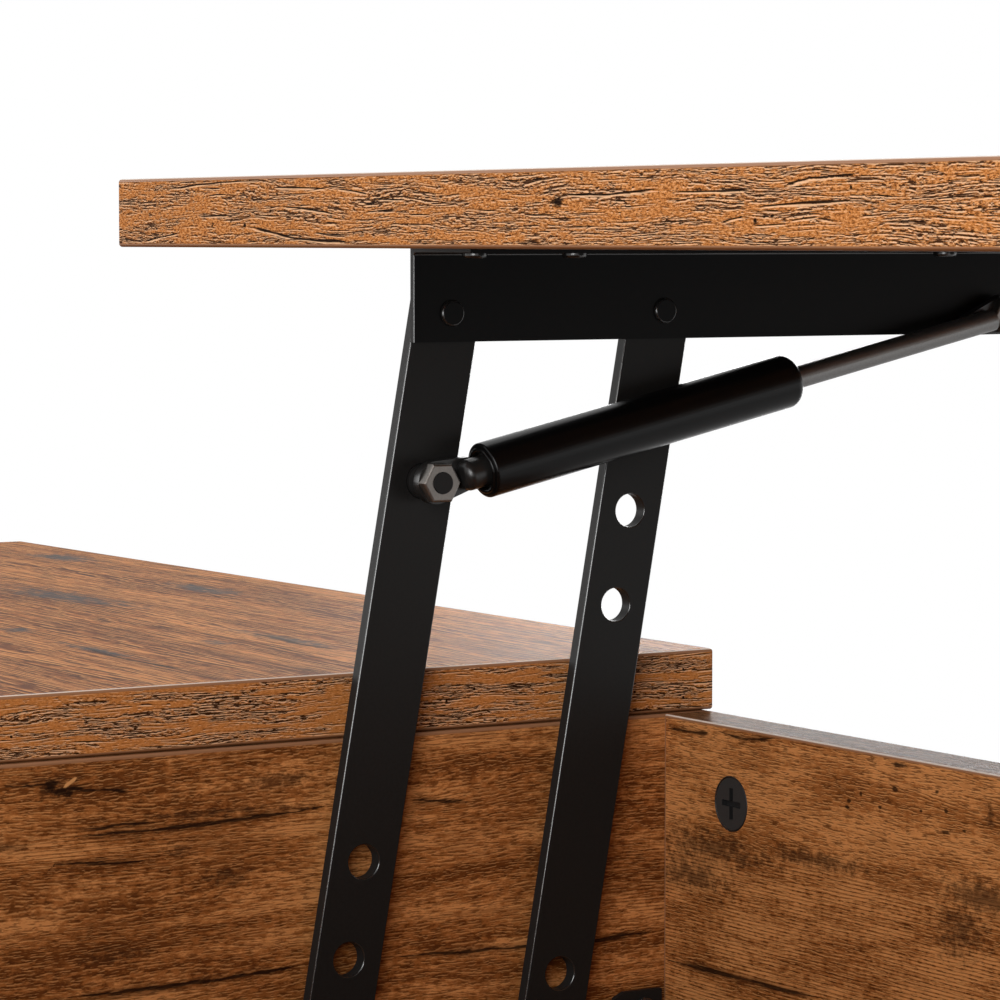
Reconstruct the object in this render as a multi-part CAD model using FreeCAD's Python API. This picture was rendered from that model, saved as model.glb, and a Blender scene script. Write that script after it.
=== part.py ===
import FreeCAD, Part
import math
import os

Vector = FreeCAD.Vector

# Lengths are in millimetres and angles in degrees.
# The floor is at Z 0, the user sits at the front, towards -Y, and the lifting half is at -X.

# Tops and boards
table_length = 1000.0
table_depth = 455.6
closed_height = 450.0
top_thickness = 18.0
top_edge_radius = 0.9
fixed_top_length = 481.5
seam_gap = 1.5
panel_thickness = 16.0
panel_edge_radius = 0.6
panel_inset = 3.1
partition_ledge = 2.3
compartment_depth = 150.0
lower_shelf_height = 44.0

# Glides under the upright boards
glide_height = 4.0
glide_diameter = 14.0
glide_setback = 34.0
glide_pin_diameter = 2.4
glide_pin_length = 14.0

# Cam locks, their bolts and the dowels in the butt joints
cam_diameter = 15.0
cam_height = 12.6
cam_distance = 34.0
cam_slot_length = 9.0
cam_slot_width = 1.7
cam_slot_depth = 1.6
cam_bolt_diameter = 6.0
cam_bolt_head_diameter = 4.6
cam_bolt_head_reach = 4.0
cam_thread_diameter = 5.0
cam_thread_length = 11.0
dowel_diameter = 8.0
dowel_length = 30.0
dowel_in_mate = 10.0
panel_cam_drop = 22.3
panel_cam_rise = 40.0
compartment_cam_setback = 70.0
cubby_cam_setback = 118.0
cubby_back_cam_setback = 54.0
top_cam_setback = 84.0
compartment_dowel_offset = -27.0
cubby_dowel_offset = 27.0

# Lift: arms, pivots and how far the top rises
lift_height = 136.5
rest_gap = 0.5
raised_lean = 10.2
arm_pitch = 240.0
arm_width = 21.0
arm_end_margin = 2.6
arm_thickness = 4.0
arm_edge_radius = 0.5
arm_hole_diameter = 9.6
arm_hole_rim_radius = 0.4
stud_hole_offset = 47.35
first_hole_offset = 154.3
second_hole_offset = 181.7
pivot_spacing = 71.5
pivot_drop = 18.5
rear_pivot_setback = 96.65
rivet_diameter = 6.0
rivet_head_diameter = 7.4
rivet_head_height = 1.0
rivet_dome_radius = 0.7
rivet_foot_diameter = 10.0
rivet_foot_height = 1.2
washer_diameter = 14.0
washer_thickness = 0.5

# Sheet steel brackets
sheet_thickness = 1.8
inner_bend_radius = 0.8
outer_bend_radius = 0.6
end_rim_radius = 0.4
upper_leg = 26.5
upper_flange = 32.0
upper_bracket_length = 217.0
upper_bracket_overhang = 12.4
upper_screw_margin = 10.6
upper_screw_pitch = 32.6
lower_flange = 30.0
lower_bracket_gap = 1.8
lower_bracket_margin = 20.0
lower_strip_above_pivot = 14.0
lower_ear_drop = 80.5
lower_ear_width = 16.4
lower_ear_chamfer_run = 3.3
lower_ear_chamfer_drop = 1.5
lower_ear_screw_drop = 5.45
lower_ear_screw_setback = 6.2
lower_floor_screw_margin = 12.0

# Pan head screws in the brackets
screw_head_diameter = 7.0
screw_head_height = 1.4
screw_head_radius = 0.9
screw_shank_diameter = 3.8
screw_length = 14.0
screw_slot_length = 3.8
screw_slot_width = 0.9
screw_slot_depth = 0.9

# Gas spring
tube_diameter = 15.6
tube_wall = 1.0
tube_foot_wall = 1.5
tube_foot_hole = 10.6
tube_foot_radius = 0.7
tube_lip_ring_diameter = 12.0
tube_lip_diameter = 1.2
tube_head_wall = 2.0
tube_head_radius = 3.0
tube_length = 108.0
tube_start = 13.7
tube_clearance = 0.3
rod_diameter = 6.5
piston_length = 8.0
piston_gap = 1.0
gland_length = 12.0
plug_length = 6.0
eye_diameter = 12.0
eye_thickness = 3.0
eye_offset = 3.6
neck_diameter = 8.8
neck_start = 6.6
neck_end_radius = 2.4
neck_blade_length = 11.4
rod_blade_length = 15.0
rod_blade_width = 5.6
rod_seat = 7.0
rod_stud_margin = 12.6
rod_stud_drop = 20.8
stud_diameter = 6.0
stud_collar_diameter = 8.7
stud_head_diameter = 13.0
stud_head_height = 0.9
stud_end_reach = 0.4
nut_across_flats = 10.5
nut_height = 3.0
nut_edge_radius = 0.7

# Clearances: still pieces in drilled holes, turning pieces, cuts past a face
fit_clearance = 0.1
running_clearance = 0.05
overrun = 2.0
match_tolerance = 0.01

# Upright planes, from the left end to the right
right_x = table_length / 2
left_x = -right_x
seam_x = right_x - fixed_top_length
lift_top_right_x = seam_x - seam_gap
partition_left_x = seam_x - partition_ledge
partition_right_x = partition_left_x + panel_thickness
right_panel_outer_x = right_x - panel_inset
right_panel_inner_x = right_panel_outer_x - panel_thickness
left_panel_outer_x = left_x + panel_inset
left_panel_inner_x = left_panel_outer_x + panel_thickness
mirror_x = (left_panel_inner_x + partition_left_x) / 2

# Levels
top_under_z = closed_height - top_thickness
compartment_floor_z = top_under_z - compartment_depth
compartment_under_z = compartment_floor_z - panel_thickness
lower_shelf_top_z = lower_shelf_height + panel_thickness
raised_under_z = top_under_z + lift_height
upper_pivot_z = raised_under_z - pivot_drop

# The arms lean past upright when raised, and the top travels back and down to close
lean = math.radians(raised_lean)
raised_rise = arm_pitch * math.cos(lean)
raised_run = arm_pitch * math.sin(lean)
closed_rise = raised_rise - lift_height + rest_gap
closed_run = math.sqrt(arm_pitch ** 2 - closed_rise ** 2)
travel = raised_run + closed_run
lower_pivot_z = upper_pivot_z - raised_rise

# Planes from the front to the back, centred on the raised table
back_edge_y = (table_depth + travel) / 2
front_edge_y = back_edge_y - table_depth
panel_front_y = front_edge_y + panel_inset
panel_back_y = back_edge_y - panel_inset
front_inner_y = panel_front_y + panel_thickness
back_inner_y = panel_back_y - panel_thickness
middle_y = (panel_front_y + panel_back_y) / 2
rear_pivot_y = front_edge_y + rear_pivot_setback
front_pivot_y = rear_pivot_y - pivot_spacing

# Layers of the mechanism, counted from the wall that carries it
arm_back = sheet_thickness + washer_thickness
arm_front = arm_back + arm_thickness
plate_back = arm_front + washer_thickness
plate_front = plate_back + sheet_thickness
spring_layer = plate_front + tube_clearance + tube_diameter / 2
eye_back = spring_layer - eye_offset - eye_thickness / 2
eye_front = eye_back + eye_thickness
nut_front = eye_front + nut_height

# Lower bracket's pivots, ends and ear
lower_rear_y = rear_pivot_y + raised_run
lower_front_y = front_pivot_y + raised_run
lower_plate_front_y = front_inner_y + lower_bracket_gap
lower_plate_rear_y = lower_rear_y + lower_bracket_margin
lower_ear_z = top_under_z - lower_ear_drop

# Upper bracket's ends and the line of the gas spring
bracket_rear_y = rear_pivot_y + upper_bracket_overhang
bracket_front_y = bracket_rear_y - upper_bracket_length
spring_foot_y = rear_pivot_y + stud_hole_offset * math.sin(lean)
spring_foot_z = upper_pivot_z - stud_hole_offset * math.cos(lean)
spring_head_y = bracket_front_y + rod_stud_margin
spring_head_z = raised_under_z - rod_stud_drop
spring_length = math.hypot(spring_head_y - spring_foot_y, spring_head_z - spring_foot_z)

# Places along the gas spring, counted from its foot
tube_bore = tube_diameter - 2 * tube_wall
tube_end = tube_start + tube_length
bore_start = tube_start + tube_foot_wall
bore_end = tube_end - tube_head_wall
gland_start = bore_end - gland_length
piston_start = gland_start - piston_gap - piston_length
rod_tip = spring_length - rod_seat

left = Vector(-1, 0, 0)
right = Vector(1, 0, 0)
front = Vector(0, -1, 0)
back = Vector(0, 1, 0)
up = Vector(0, 0, 1)
down = Vector(0, 0, -1)
local_along = Vector(1, 0, 0)
local_out = Vector(0, 0, 1)
spring_line = Vector(0, spring_head_y - spring_foot_y, spring_head_z - spring_foot_z) / spring_length
arm_line = Vector(0, -math.sin(lean), math.cos(lean))

# Holes to be cut in each board, and the fasteners gathered joint by joint
cuts = {}
cam_locks = []
cam_bolts = []
wood_dowels = []
nodes = {}


def box(x0, x1, y0, y1, z0, z1):
    return Part.makeBox(x1 - x0, y1 - y0, z1 - z0, Vector(x0, y0, z0))


def rod(diameter, start, along, length):
    return Part.makeCylinder(diameter / 2, length, start, along)


def ring(outer_diameter, inner_diameter, start, along, length):
    bore = rod(inner_diameter, start - along * overrun, along, length + 2 * overrun)
    return rod(outer_diameter, start, along, length).cut(bore)


def fused(pieces):
    return pieces[0].multiFuse(pieces[1:]).removeSplitter()


def placed(shape, origin, along, out):
    turned = shape.copy()
    turned.Placement = FreeCAD.Placement(origin, FreeCAD.Rotation(along, out.cross(along), out, "ZXY"))
    return turned


def mirrored(shape):
    return shape.mirror(Vector(mirror_x, 0, 0), right)


def at_wall(depth, y, z):
    # A point of the right mechanism, depth away from the partition's face.
    return Vector(partition_left_x - depth, y, z)


def add_cut(board_name, cutter):
    cuts.setdefault(board_name, []).append(cutter)


def board(name, x0, x1, y0, y1, z0, z1, edge_radius):
    blank = box(x0, x1, y0, y1, z0, z1)
    blank = blank.makeFillet(edge_radius, blank.Edges)
    if name in cuts:
        blank = blank.cut(cuts[name])
    nodes[name] = [blank]


# Joinery


def cam_lock():
    # The cross slot opens at the origin and the bolt comes in from -X.
    body = rod(cam_diameter, Vector(0, 0, 0), -local_out, cam_height)
    half_length = cam_slot_length / 2
    half_width = cam_slot_width / 2
    slot = box(-half_length, half_length, -half_width, half_width, -cam_slot_depth, overrun)
    cross = box(-half_width, half_width, -half_length, half_length, -cam_slot_depth, overrun)
    mouth = Vector(-cam_diameter / 2 - overrun, 0, -panel_thickness / 2)
    socket_diameter = cam_bolt_head_diameter + 2 * fit_clearance
    socket = rod(socket_diameter, mouth, local_along, cam_bolt_head_reach + fit_clearance + overrun)
    return body.cut([slot, cross, socket])


def cam_bolt(joint, into):
    shank_length = cam_distance - cam_diameter / 2 - fit_clearance
    head_length = cam_distance - cam_diameter / 2 + cam_bolt_head_reach
    thread = rod(cam_thread_diameter, joint - into * cam_thread_length, into, cam_thread_length)
    shank = rod(cam_bolt_diameter, joint, into, shank_length)
    head = rod(cam_bolt_head_diameter, joint, into, head_length)
    return fused([thread, shank, head])


def cam_joint(joint, into, cam_face, cam_board, mate_board):
    # The bolt stands in the mate board at joint and runs into the cam's board.
    mouth = joint + into * cam_distance + cam_face * (panel_thickness / 2)
    cam_locks.append(placed(cam_lock(), mouth, into, cam_face))
    cam_bolts.append(cam_bolt(joint, into))
    room = 2 * fit_clearance
    cam_hole_start = mouth + cam_face * overrun
    cam_hole_length = cam_height + fit_clearance + overrun
    add_cut(cam_board, rod(cam_diameter + room, cam_hole_start, -cam_face, cam_hole_length))
    add_cut(cam_board, rod(cam_bolt_diameter + room, joint - into * overrun, into, cam_distance + overrun))
    thread_hole_length = cam_thread_length + fit_clearance + overrun
    add_cut(mate_board, rod(cam_thread_diameter + room, joint + into * overrun, -into, thread_hole_length))


def dowel_joint(joint, into, first_board, mate_board):
    start = joint - into * dowel_in_mate
    wood_dowels.append(rod(dowel_diameter, start, into, dowel_length))
    hole_length = dowel_length + 2 * fit_clearance
    hole = rod(dowel_diameter + 2 * fit_clearance, start - into * fit_clearance, into, hole_length)
    add_cut(first_board, hole)
    add_cut(mate_board, hole)


def join_shelf(name, level_z, left_mate, left_face_x, right_mate, right_face_x, cam_setback, dowel_offset):
    # A level board held between two uprights, with its cams underneath.
    ends = ((left_face_x, right, left_mate), (right_face_x, left, right_mate))
    middle_z = level_z + panel_thickness / 2
    for face_x, into, mate in ends:
        for y in (panel_front_y + cam_setback, panel_back_y - cam_setback):
            cam_joint(Vector(face_x, y, middle_z), into, down, name, mate)
        dowel_joint(Vector(face_x, middle_y + dowel_offset, middle_z), into, name, mate)


def join_panel(name, middle, cam_face, left_mate, left_face_x, right_mate, right_face_x, cam_levels):
    # An upright panel held between two uprights, with its cams on the inner face.
    ends = ((left_face_x, right, left_mate), (right_face_x, left, right_mate))
    for face_x, into, mate in ends:
        for z in cam_levels:
            cam_joint(Vector(face_x, middle, z), into, cam_face, name, mate)
        dowel_joint(Vector(face_x, middle, sum(cam_levels) / len(cam_levels)), into, name, mate)


def join_fixed_top():
    uprights = (("partition", partition_left_x, right), ("right_end_panel", right_panel_inner_x, left))
    for name, face_x, cam_face in uprights:
        middle_x = face_x + panel_thickness / 2
        for y in (panel_front_y + top_cam_setback, panel_back_y - top_cam_setback):
            cam_joint(Vector(middle_x, y, top_under_z), down, cam_face, name, "fixed_top")
        dowel_joint(Vector(middle_x, middle_y, top_under_z), down, name, "fixed_top")


def join_boards():
    lift_bay = ("left_end_panel", left_panel_inner_x, "partition", partition_left_x)
    cubby_bay = ("partition", partition_right_x, "right_end_panel", right_panel_inner_x)
    compartment_levels = (compartment_under_z + panel_cam_rise, top_under_z - panel_cam_drop)
    cubby_levels = (lower_shelf_top_z + cubby_back_cam_setback, top_under_z - cubby_back_cam_setback)
    front_middle = panel_front_y + panel_thickness / 2
    back_middle = panel_back_y - panel_thickness / 2
    join_panel("front_panel", front_middle, back, *lift_bay, compartment_levels)
    join_panel("back_panel", back_middle, front, *lift_bay, compartment_levels)
    join_panel("cubby_back", back_middle, front, *cubby_bay, cubby_levels)
    for name, level_z in (("compartment_floor", compartment_under_z), ("lower_shelf", lower_shelf_height)):
        join_shelf(name, level_z, *lift_bay, compartment_cam_setback, compartment_dowel_offset)
    for name, level_z in (("cubby_shelf", compartment_under_z), ("cubby_base", lower_shelf_height)):
        join_shelf(name, level_z, *cubby_bay, cubby_cam_setback, cubby_dowel_offset)
    join_fixed_top()


def add_glides():
    glides = []
    room = 2 * fit_clearance
    uprights = (("left_end_panel", left_panel_outer_x), ("partition", partition_left_x),
                ("right_end_panel", right_panel_inner_x))
    for name, face_x in uprights:
        for y in (panel_front_y + glide_setback, panel_back_y - glide_setback):
            foot = Vector(face_x + panel_thickness / 2, y, 0)
            pin_start = foot + up * glide_height
            pin = rod(glide_pin_diameter, pin_start, up, glide_pin_length)
            glides.append(fused([rod(glide_diameter, foot, up, glide_height), pin]))
            hole_length = glide_pin_length + fit_clearance + overrun
            add_cut(name, rod(glide_pin_diameter + room, pin_start - up * overrun, up, hole_length))
    nodes["glides"] = glides


# Steel mechanism, built for the partition's side


def is_arm_hole_rim(edge):
    # The rim of one of the arm's three wide holes, on the side away from the wall.
    outward = abs(edge.CenterOfMass.z - arm_thickness) < match_tolerance
    wide = abs(edge.Length - math.pi * arm_hole_diameter) < match_tolerance
    return outward and wide


def arm(foot, along):
    # Both arms are one stamping, with the stud hole near the end at foot.
    half = arm_width / 2
    start_x = -arm_end_margin
    end_x = arm_pitch + arm_end_margin
    upper_start = Vector(start_x, half, 0)
    upper_end = Vector(end_x, half, 0)
    far_end = Vector(end_x + half, 0, 0)
    lower_end = Vector(end_x, -half, 0)
    lower_start = Vector(start_x, -half, 0)
    near_end = Vector(start_x - half, 0, 0)
    outline = Part.Wire([
        Part.LineSegment(upper_start, upper_end).toShape(),
        Part.Arc(upper_end, far_end, lower_end).toShape(),
        Part.LineSegment(lower_end, lower_start).toShape(),
        Part.Arc(lower_start, near_end, upper_start).toShape(),
    ])
    blank = Part.Face(outline).extrude(local_out * arm_thickness)
    rim = [edge for edge in blank.Edges if edge.BoundBox.ZLength < arm_edge_radius]
    blank = blank.makeFillet(arm_edge_radius, rim)
    pivot_hole = rivet_diameter + 2 * running_clearance
    holes = ((0, pivot_hole), (arm_pitch, pivot_hole), (stud_hole_offset, arm_hole_diameter),
             (first_hole_offset, arm_hole_diameter), (second_hole_offset, arm_hole_diameter))
    start_z = local_out * -overrun
    length = arm_thickness + 2 * overrun
    drills = [rod(diameter, local_along * place + start_z, local_out, length) for place, diameter in holes]
    drilled = blank.cut(drills)
    rims = [edge for edge in drilled.Edges if is_arm_hole_rim(edge)]
    return placed(drilled.makeFillet(arm_hole_rim_radius, rims), foot, along, left)


def angle_profile(leg, flange, length):
    # Sheet angle along +X: the leg stands along -Y, the flange reaches out along +Z.
    leg_sheet = box(0, length, -leg, 0, 0, sheet_thickness)
    flange_sheet = box(0, length, -sheet_thickness, 0, 0, flange)
    angle = fused([leg_sheet, flange_sheet])
    inner = [edge for edge in angle.Edges if is_bend(edge, -sheet_thickness, sheet_thickness, length)]
    angle = angle.makeFillet(inner_bend_radius, inner)
    outer = [edge for edge in angle.Edges if is_bend(edge, 0, 0, length)]
    return angle.makeFillet(outer_bend_radius, outer)


def is_bend(edge, y, z, length):
    middle = edge.CenterOfMass
    near = math.hypot(middle.y - y, middle.z - z) < match_tolerance
    return near and abs(edge.Length - length) < match_tolerance


def is_end_rim(edge, leg, length):
    # The rim of the leg's outward face, at either end of a sheet angle.
    middle = edge.CenterOfMass
    outward = abs(middle.z - sheet_thickness) < match_tolerance and middle.y < -leg / 2
    at_start = edge.BoundBox.XMax < match_tolerance
    at_end = edge.BoundBox.XMin > length - match_tolerance
    return outward and (at_start or at_end)


def upper_bracket():
    angle = angle_profile(upper_leg, upper_flange, upper_bracket_length)
    rims = [edge for edge in angle.Edges if is_end_rim(edge, upper_leg, upper_bracket_length)]
    angle = angle.makeFillet(end_rim_radius, rims)
    angle = placed(angle, at_wall(plate_back, bracket_rear_y, raised_under_z), front, left)
    holes = []
    length = sheet_thickness + 2 * overrun
    for y in (rear_pivot_y, front_pivot_y):
        start = at_wall(plate_back - overrun, y, upper_pivot_z)
        holes.append(rod(rivet_diameter + 2 * fit_clearance, start, left, length))
    for place in upper_screw_places():
        hole = rod(screw_shank_diameter + 2 * fit_clearance, place - up * overrun, up, length)
        holes.append(hole)
    return angle.cut(holes)


def upper_screw_places():
    # Points on the flange's lower face, two near each end.
    depth = plate_back + (upper_flange + sheet_thickness) / 2
    steps = (upper_screw_margin, upper_screw_margin + upper_screw_pitch)
    from_rear = [bracket_rear_y - step for step in steps]
    from_front = [bracket_front_y + step for step in steps]
    return [at_wall(depth, y, raised_under_z - sheet_thickness) for y in from_rear + from_front]


def lower_bracket():
    length = lower_plate_rear_y - lower_plate_front_y
    angle = angle_profile(lower_ear_z - compartment_floor_z, lower_flange, length)
    angle = placed(angle, at_wall(0, lower_plate_front_y, compartment_floor_z), back, left)
    strip_z = lower_pivot_z + lower_strip_above_pivot
    ear_y = lower_plate_front_y + lower_ear_width
    chamfer_y = ear_y - lower_ear_chamfer_run
    past_rear_y = lower_plate_rear_y + overrun
    past_ear_z = lower_ear_z + overrun
    corners = ((ear_y, strip_z), (past_rear_y, strip_z), (past_rear_y, past_ear_z), (chamfer_y, past_ear_z),
               (chamfer_y, lower_ear_z), (ear_y, lower_ear_z - lower_ear_chamfer_drop), (ear_y, strip_z))
    above_strip = Part.makePolygon([at_wall(-overrun, y, z) for y, z in corners])
    through = sheet_thickness + 2 * overrun
    holes = [Part.Face(above_strip).extrude(left * through)]
    for y in (lower_rear_y, lower_front_y):
        hole_start = at_wall(-overrun, y, lower_pivot_z)
        holes.append(rod(rivet_diameter + 2 * fit_clearance, hole_start, left, through))
    for place, out in lower_screw_places():
        holes.append(rod(screw_shank_diameter + 2 * fit_clearance, place + out * overrun, -out, through))
    return angle.cut(holes)


def lower_screw_places():
    # Points where a screw head sits, with the way that it faces: one in the ear, three in the flange.
    ear_place = at_wall(sheet_thickness, lower_plate_front_y + lower_ear_screw_setback,
                        lower_ear_z - lower_ear_screw_drop)
    floor_front_y = lower_plate_front_y + lower_floor_screw_margin
    floor_rear_y = lower_plate_rear_y - lower_floor_screw_margin
    floor_ys = (floor_front_y, (floor_front_y + floor_rear_y) / 2, floor_rear_y)
    depth = (lower_flange + sheet_thickness) / 2
    floor_z = compartment_floor_z + sheet_thickness
    return [(ear_place, left)] + [(at_wall(depth, y, floor_z), up) for y in floor_ys]


def screw(place, out, along):
    # A pan head on the sheet at place, with a cross slot and a plain shank.
    head = rod(screw_head_diameter, Vector(0, 0, 0), local_out, screw_head_height)
    rim = [edge for edge in head.Edges if edge.CenterOfMass.z > screw_head_height / 2 and edge.Closed]
    head = head.makeFillet(screw_head_radius, rim)
    half_length = screw_slot_length / 2
    half_width = screw_slot_width / 2
    floor_z = screw_head_height - screw_slot_depth
    ceiling_z = screw_head_height + overrun
    slots = [box(-half_length, half_length, -half_width, half_width, floor_z, ceiling_z),
             box(-half_width, half_width, -half_length, half_length, floor_z, ceiling_z)]
    shank = rod(screw_shank_diameter, Vector(0, 0, 0), -local_out, screw_length)
    return placed(fused([head, shank]).cut(slots), place, along, out)


def screw_hole(place, out):
    length = screw_length + fit_clearance + overrun
    return rod(screw_shank_diameter + 2 * fit_clearance, place + out * overrun, -out, length)


def domed_head(diameter, height, start, out):
    head = rod(diameter, start, out, height)
    far = start + out * height
    rim = [edge for edge in head.Edges if (edge.CenterOfMass - far).Length < running_clearance]
    return head.makeFillet(rivet_dome_radius, rim)


def upper_rivet(y):
    start = at_wall(arm_back, y, upper_pivot_z)
    shank = rod(rivet_diameter, start, left, plate_front - arm_back)
    foot = rod(rivet_foot_diameter, start - left * rivet_foot_height, left, rivet_foot_height)
    head = domed_head(rivet_head_diameter, rivet_head_height, at_wall(plate_front, y, upper_pivot_z), left)
    return fused([shank, foot, head])


def lower_rivet(y):
    shank = rod(rivet_diameter, at_wall(0, y, lower_pivot_z), left, arm_front)
    head = domed_head(rivet_foot_diameter, rivet_foot_height, at_wall(arm_front, y, lower_pivot_z), left)
    return fused([shank, head])


def washer(depth, y, z):
    bore = rivet_diameter + 2 * running_clearance
    return ring(washer_diameter, bore, at_wall(depth, y, z), left, washer_thickness)


def hex_nut(place):
    # The face with rounded edges looks away from the wall.
    corner = nut_across_flats / math.sqrt(3)
    turns = [math.radians(60 * step) for step in range(7)]
    corners = [Vector(corner * math.cos(turn), corner * math.sin(turn), 0) for turn in turns]
    prism = Part.Face(Part.makePolygon(corners)).extrude(local_out * nut_height)
    face_edges = [edge for edge in prism.Edges if edge.BoundBox.ZMin > nut_height / 2]
    prism = prism.makeFillet(nut_edge_radius, face_edges)
    bore_length = nut_height + 2 * overrun
    bore = rod(stud_diameter + 2 * fit_clearance, local_out * -overrun, local_out, bore_length)
    return placed(prism.cut(bore), place, front, left)


def stud_end(y, z):
    reach = nut_front + stud_end_reach - eye_back
    return rod(stud_diameter, at_wall(eye_back, y, z), left, reach)


def arm_stud():
    y, z = spring_foot_y, spring_foot_z
    head = rod(stud_head_diameter, at_wall(arm_back - stud_head_height, y, z), left, stud_head_height)
    barrel = rod(arm_hole_diameter - 2 * fit_clearance, at_wall(arm_back, y, z), left, arm_thickness)
    collar = rod(stud_collar_diameter, at_wall(arm_front, y, z), left, eye_back - arm_front)
    return fused([head, barrel, collar, stud_end(y, z)])


def rod_stud():
    y, z = spring_head_y, spring_head_z
    foot_depth = plate_front + tube_clearance
    collar = rod(stud_collar_diameter, at_wall(foot_depth, y, z), left, eye_back - foot_depth)
    return fused([collar, stud_end(y, z)])


def on_spring_foot(shape):
    return placed(shape, at_wall(spring_layer, spring_foot_y, spring_foot_z), spring_line, left)


def on_spring_head(shape):
    return placed(shape, at_wall(spring_layer, spring_head_y, spring_head_z), -spring_line, left)


def along_spring(distance):
    return local_along * distance


def eye_plate(blade_length, blade_width):
    # A flat eye, set off towards the wall, with a blade that runs along +X under the spring's line.
    eye_z = -eye_offset - eye_thickness / 2
    eye = rod(eye_diameter, local_out * eye_z, local_out, eye_thickness)
    eye_half = eye_diameter / 2
    blade_half = blade_width / 2
    sides = ((0, eye_half), (blade_length, blade_half), (blade_length, -blade_half), (0, -eye_half))
    corners = [Vector(x, y, eye_z) for x, y in sides]
    outline = Part.makePolygon(corners + corners[:1])
    blade = Part.Face(outline).extrude(local_out * eye_thickness)
    bore_length = eye_thickness + 2 * overrun
    bore = rod(stud_diameter + 2 * running_clearance, local_out * (eye_z - overrun), local_out, bore_length)
    return fused([eye, blade]).cut(bore)


def cylinder_end():
    # The blade runs into a round neck, and the neck into a plug in the tube's foot.
    neck = rod(neck_diameter, along_spring(neck_start), local_along, bore_start - neck_start)
    neck = neck.makeFillet(neck_end_radius, rims_at(neck, neck_start))
    plug = rod(tube_bore - 2 * fit_clearance, along_spring(bore_start), local_along, plug_length)
    return on_spring_foot(fused([eye_plate(neck_blade_length, neck_diameter), neck, plug]))


def rims_at(shape, distance):
    # Round edges square to the spring's line, at a distance from its foot.
    rings = [edge for edge in shape.Edges if edge.Closed]
    return [edge for edge in rings if abs(edge.CenterOfMass.x - distance) < match_tolerance]


def gas_cylinder():
    # Both ends are rolled in: flat with a round lip round the neck, rounded round the rod.
    tube = rod(tube_diameter, along_spring(tube_start), local_along, tube_length)
    tube = tube.makeFillet(tube_foot_radius, rims_at(tube, tube_start))
    tube = tube.makeFillet(tube_head_radius, rims_at(tube, tube_end))
    bore = rod(tube_bore, along_spring(bore_start), local_along, bore_end - bore_start)
    foot_start = along_spring(tube_start - overrun)
    foot_hole = rod(tube_foot_hole, foot_start, local_along, tube_foot_wall + 2 * overrun)
    head_bore = rod_diameter + 2 * tube_clearance
    head_hole = rod(head_bore, along_spring(bore_end - overrun), local_along, tube_head_wall + 2 * overrun)
    tube = tube.cut([bore, foot_hole, head_hole])
    lip_sizes = (tube_lip_ring_diameter / 2, tube_lip_diameter / 2)
    lip = Part.makeTorus(*lip_sizes, along_spring(tube_start), local_along)
    return on_spring_foot(fused([tube, lip]))


def rod_gland():
    bore = rod_diameter + 2 * running_clearance
    outer = tube_bore - 2 * fit_clearance
    return on_spring_foot(ring(outer, bore, along_spring(gland_start), local_along, gland_length))


def gas_rod():
    return on_spring_foot(rod(rod_diameter, along_spring(piston_start), local_along, rod_tip - piston_start))


def piston():
    outer = tube_bore - 2 * running_clearance
    bore = rod_diameter + 2 * running_clearance
    return on_spring_foot(ring(outer, bore, along_spring(piston_start), local_along, piston_length))


def rod_end():
    # The rod's tip lies in a groove along the blade.
    groove_start = along_spring(rod_seat - fit_clearance)
    groove_length = rod_blade_length - rod_seat + fit_clearance + overrun
    groove = rod(rod_diameter + 2 * fit_clearance, groove_start, local_along, groove_length)
    return on_spring_head(eye_plate(rod_blade_length, rod_blade_width).cut(groove))


def add_pair(name, shape):
    nodes[name + "_right"] = [shape]
    nodes[name + "_left"] = [mirrored(shape)]


def add_group(name, shapes):
    nodes[name] = shapes + [mirrored(shape) for shape in shapes]


def add_mechanism():
    lower_rear = at_wall(arm_back, lower_rear_y, lower_pivot_z)
    lower_front = at_wall(arm_back, lower_front_y, lower_pivot_z)
    add_pair("rear_arm", arm(lower_rear + arm_line * arm_pitch, -arm_line))
    add_pair("front_arm", arm(lower_front, arm_line))
    add_pair("upper_bracket", upper_bracket())
    add_pair("lower_bracket", lower_bracket())
    add_pair("arm_stud", arm_stud())
    add_pair("arm_stud_nut", hex_nut(at_wall(eye_front, spring_foot_y, spring_foot_z)))
    add_pair("cylinder_end", cylinder_end())
    add_pair("gas_cylinder", gas_cylinder())
    add_pair("rod_gland", rod_gland())
    add_pair("gas_rod", gas_rod())
    add_pair("piston", piston())
    add_pair("rod_end", rod_end())
    add_pair("rod_stud", rod_stud())
    add_pair("rod_stud_nut", hex_nut(at_wall(eye_front, spring_head_y, spring_head_z)))
    upper_ys = (rear_pivot_y, front_pivot_y)
    lower_ys = (lower_rear_y, lower_front_y)
    add_group("upper_rivets", [upper_rivet(y) for y in upper_ys])
    add_group("lower_rivets", [lower_rivet(y) for y in lower_ys])
    add_group("upper_washers", [washer(arm_front, y, upper_pivot_z) for y in upper_ys])
    add_group("lower_washers", [washer(sheet_thickness, y, lower_pivot_z) for y in lower_ys])


def add_screws():
    add_group("upper_bracket_screws", [screw(place, down, front) for place in upper_screw_places()])
    add_group("lower_bracket_screws", [screw(place, out, back) for place, out in lower_screw_places()])
    for place in upper_screw_places():
        add_cut("lift_top", screw_hole(place, down))
        add_cut("lift_top", mirrored(screw_hole(place, down)))
    for place, out in lower_screw_places():
        sides = ("compartment_floor", "compartment_floor") if out == up else ("partition", "left_end_panel")
        add_cut(sides[0], screw_hole(place, out))
        add_cut(sides[1], mirrored(screw_hole(place, out)))


# Boards


def add_tops():
    board("fixed_top", seam_x, right_x, front_edge_y, back_edge_y,
          top_under_z, closed_height, top_edge_radius)
    board("lift_top", left_x, lift_top_right_x, front_edge_y - travel, back_edge_y - travel,
          raised_under_z, raised_under_z + top_thickness, top_edge_radius)


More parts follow.
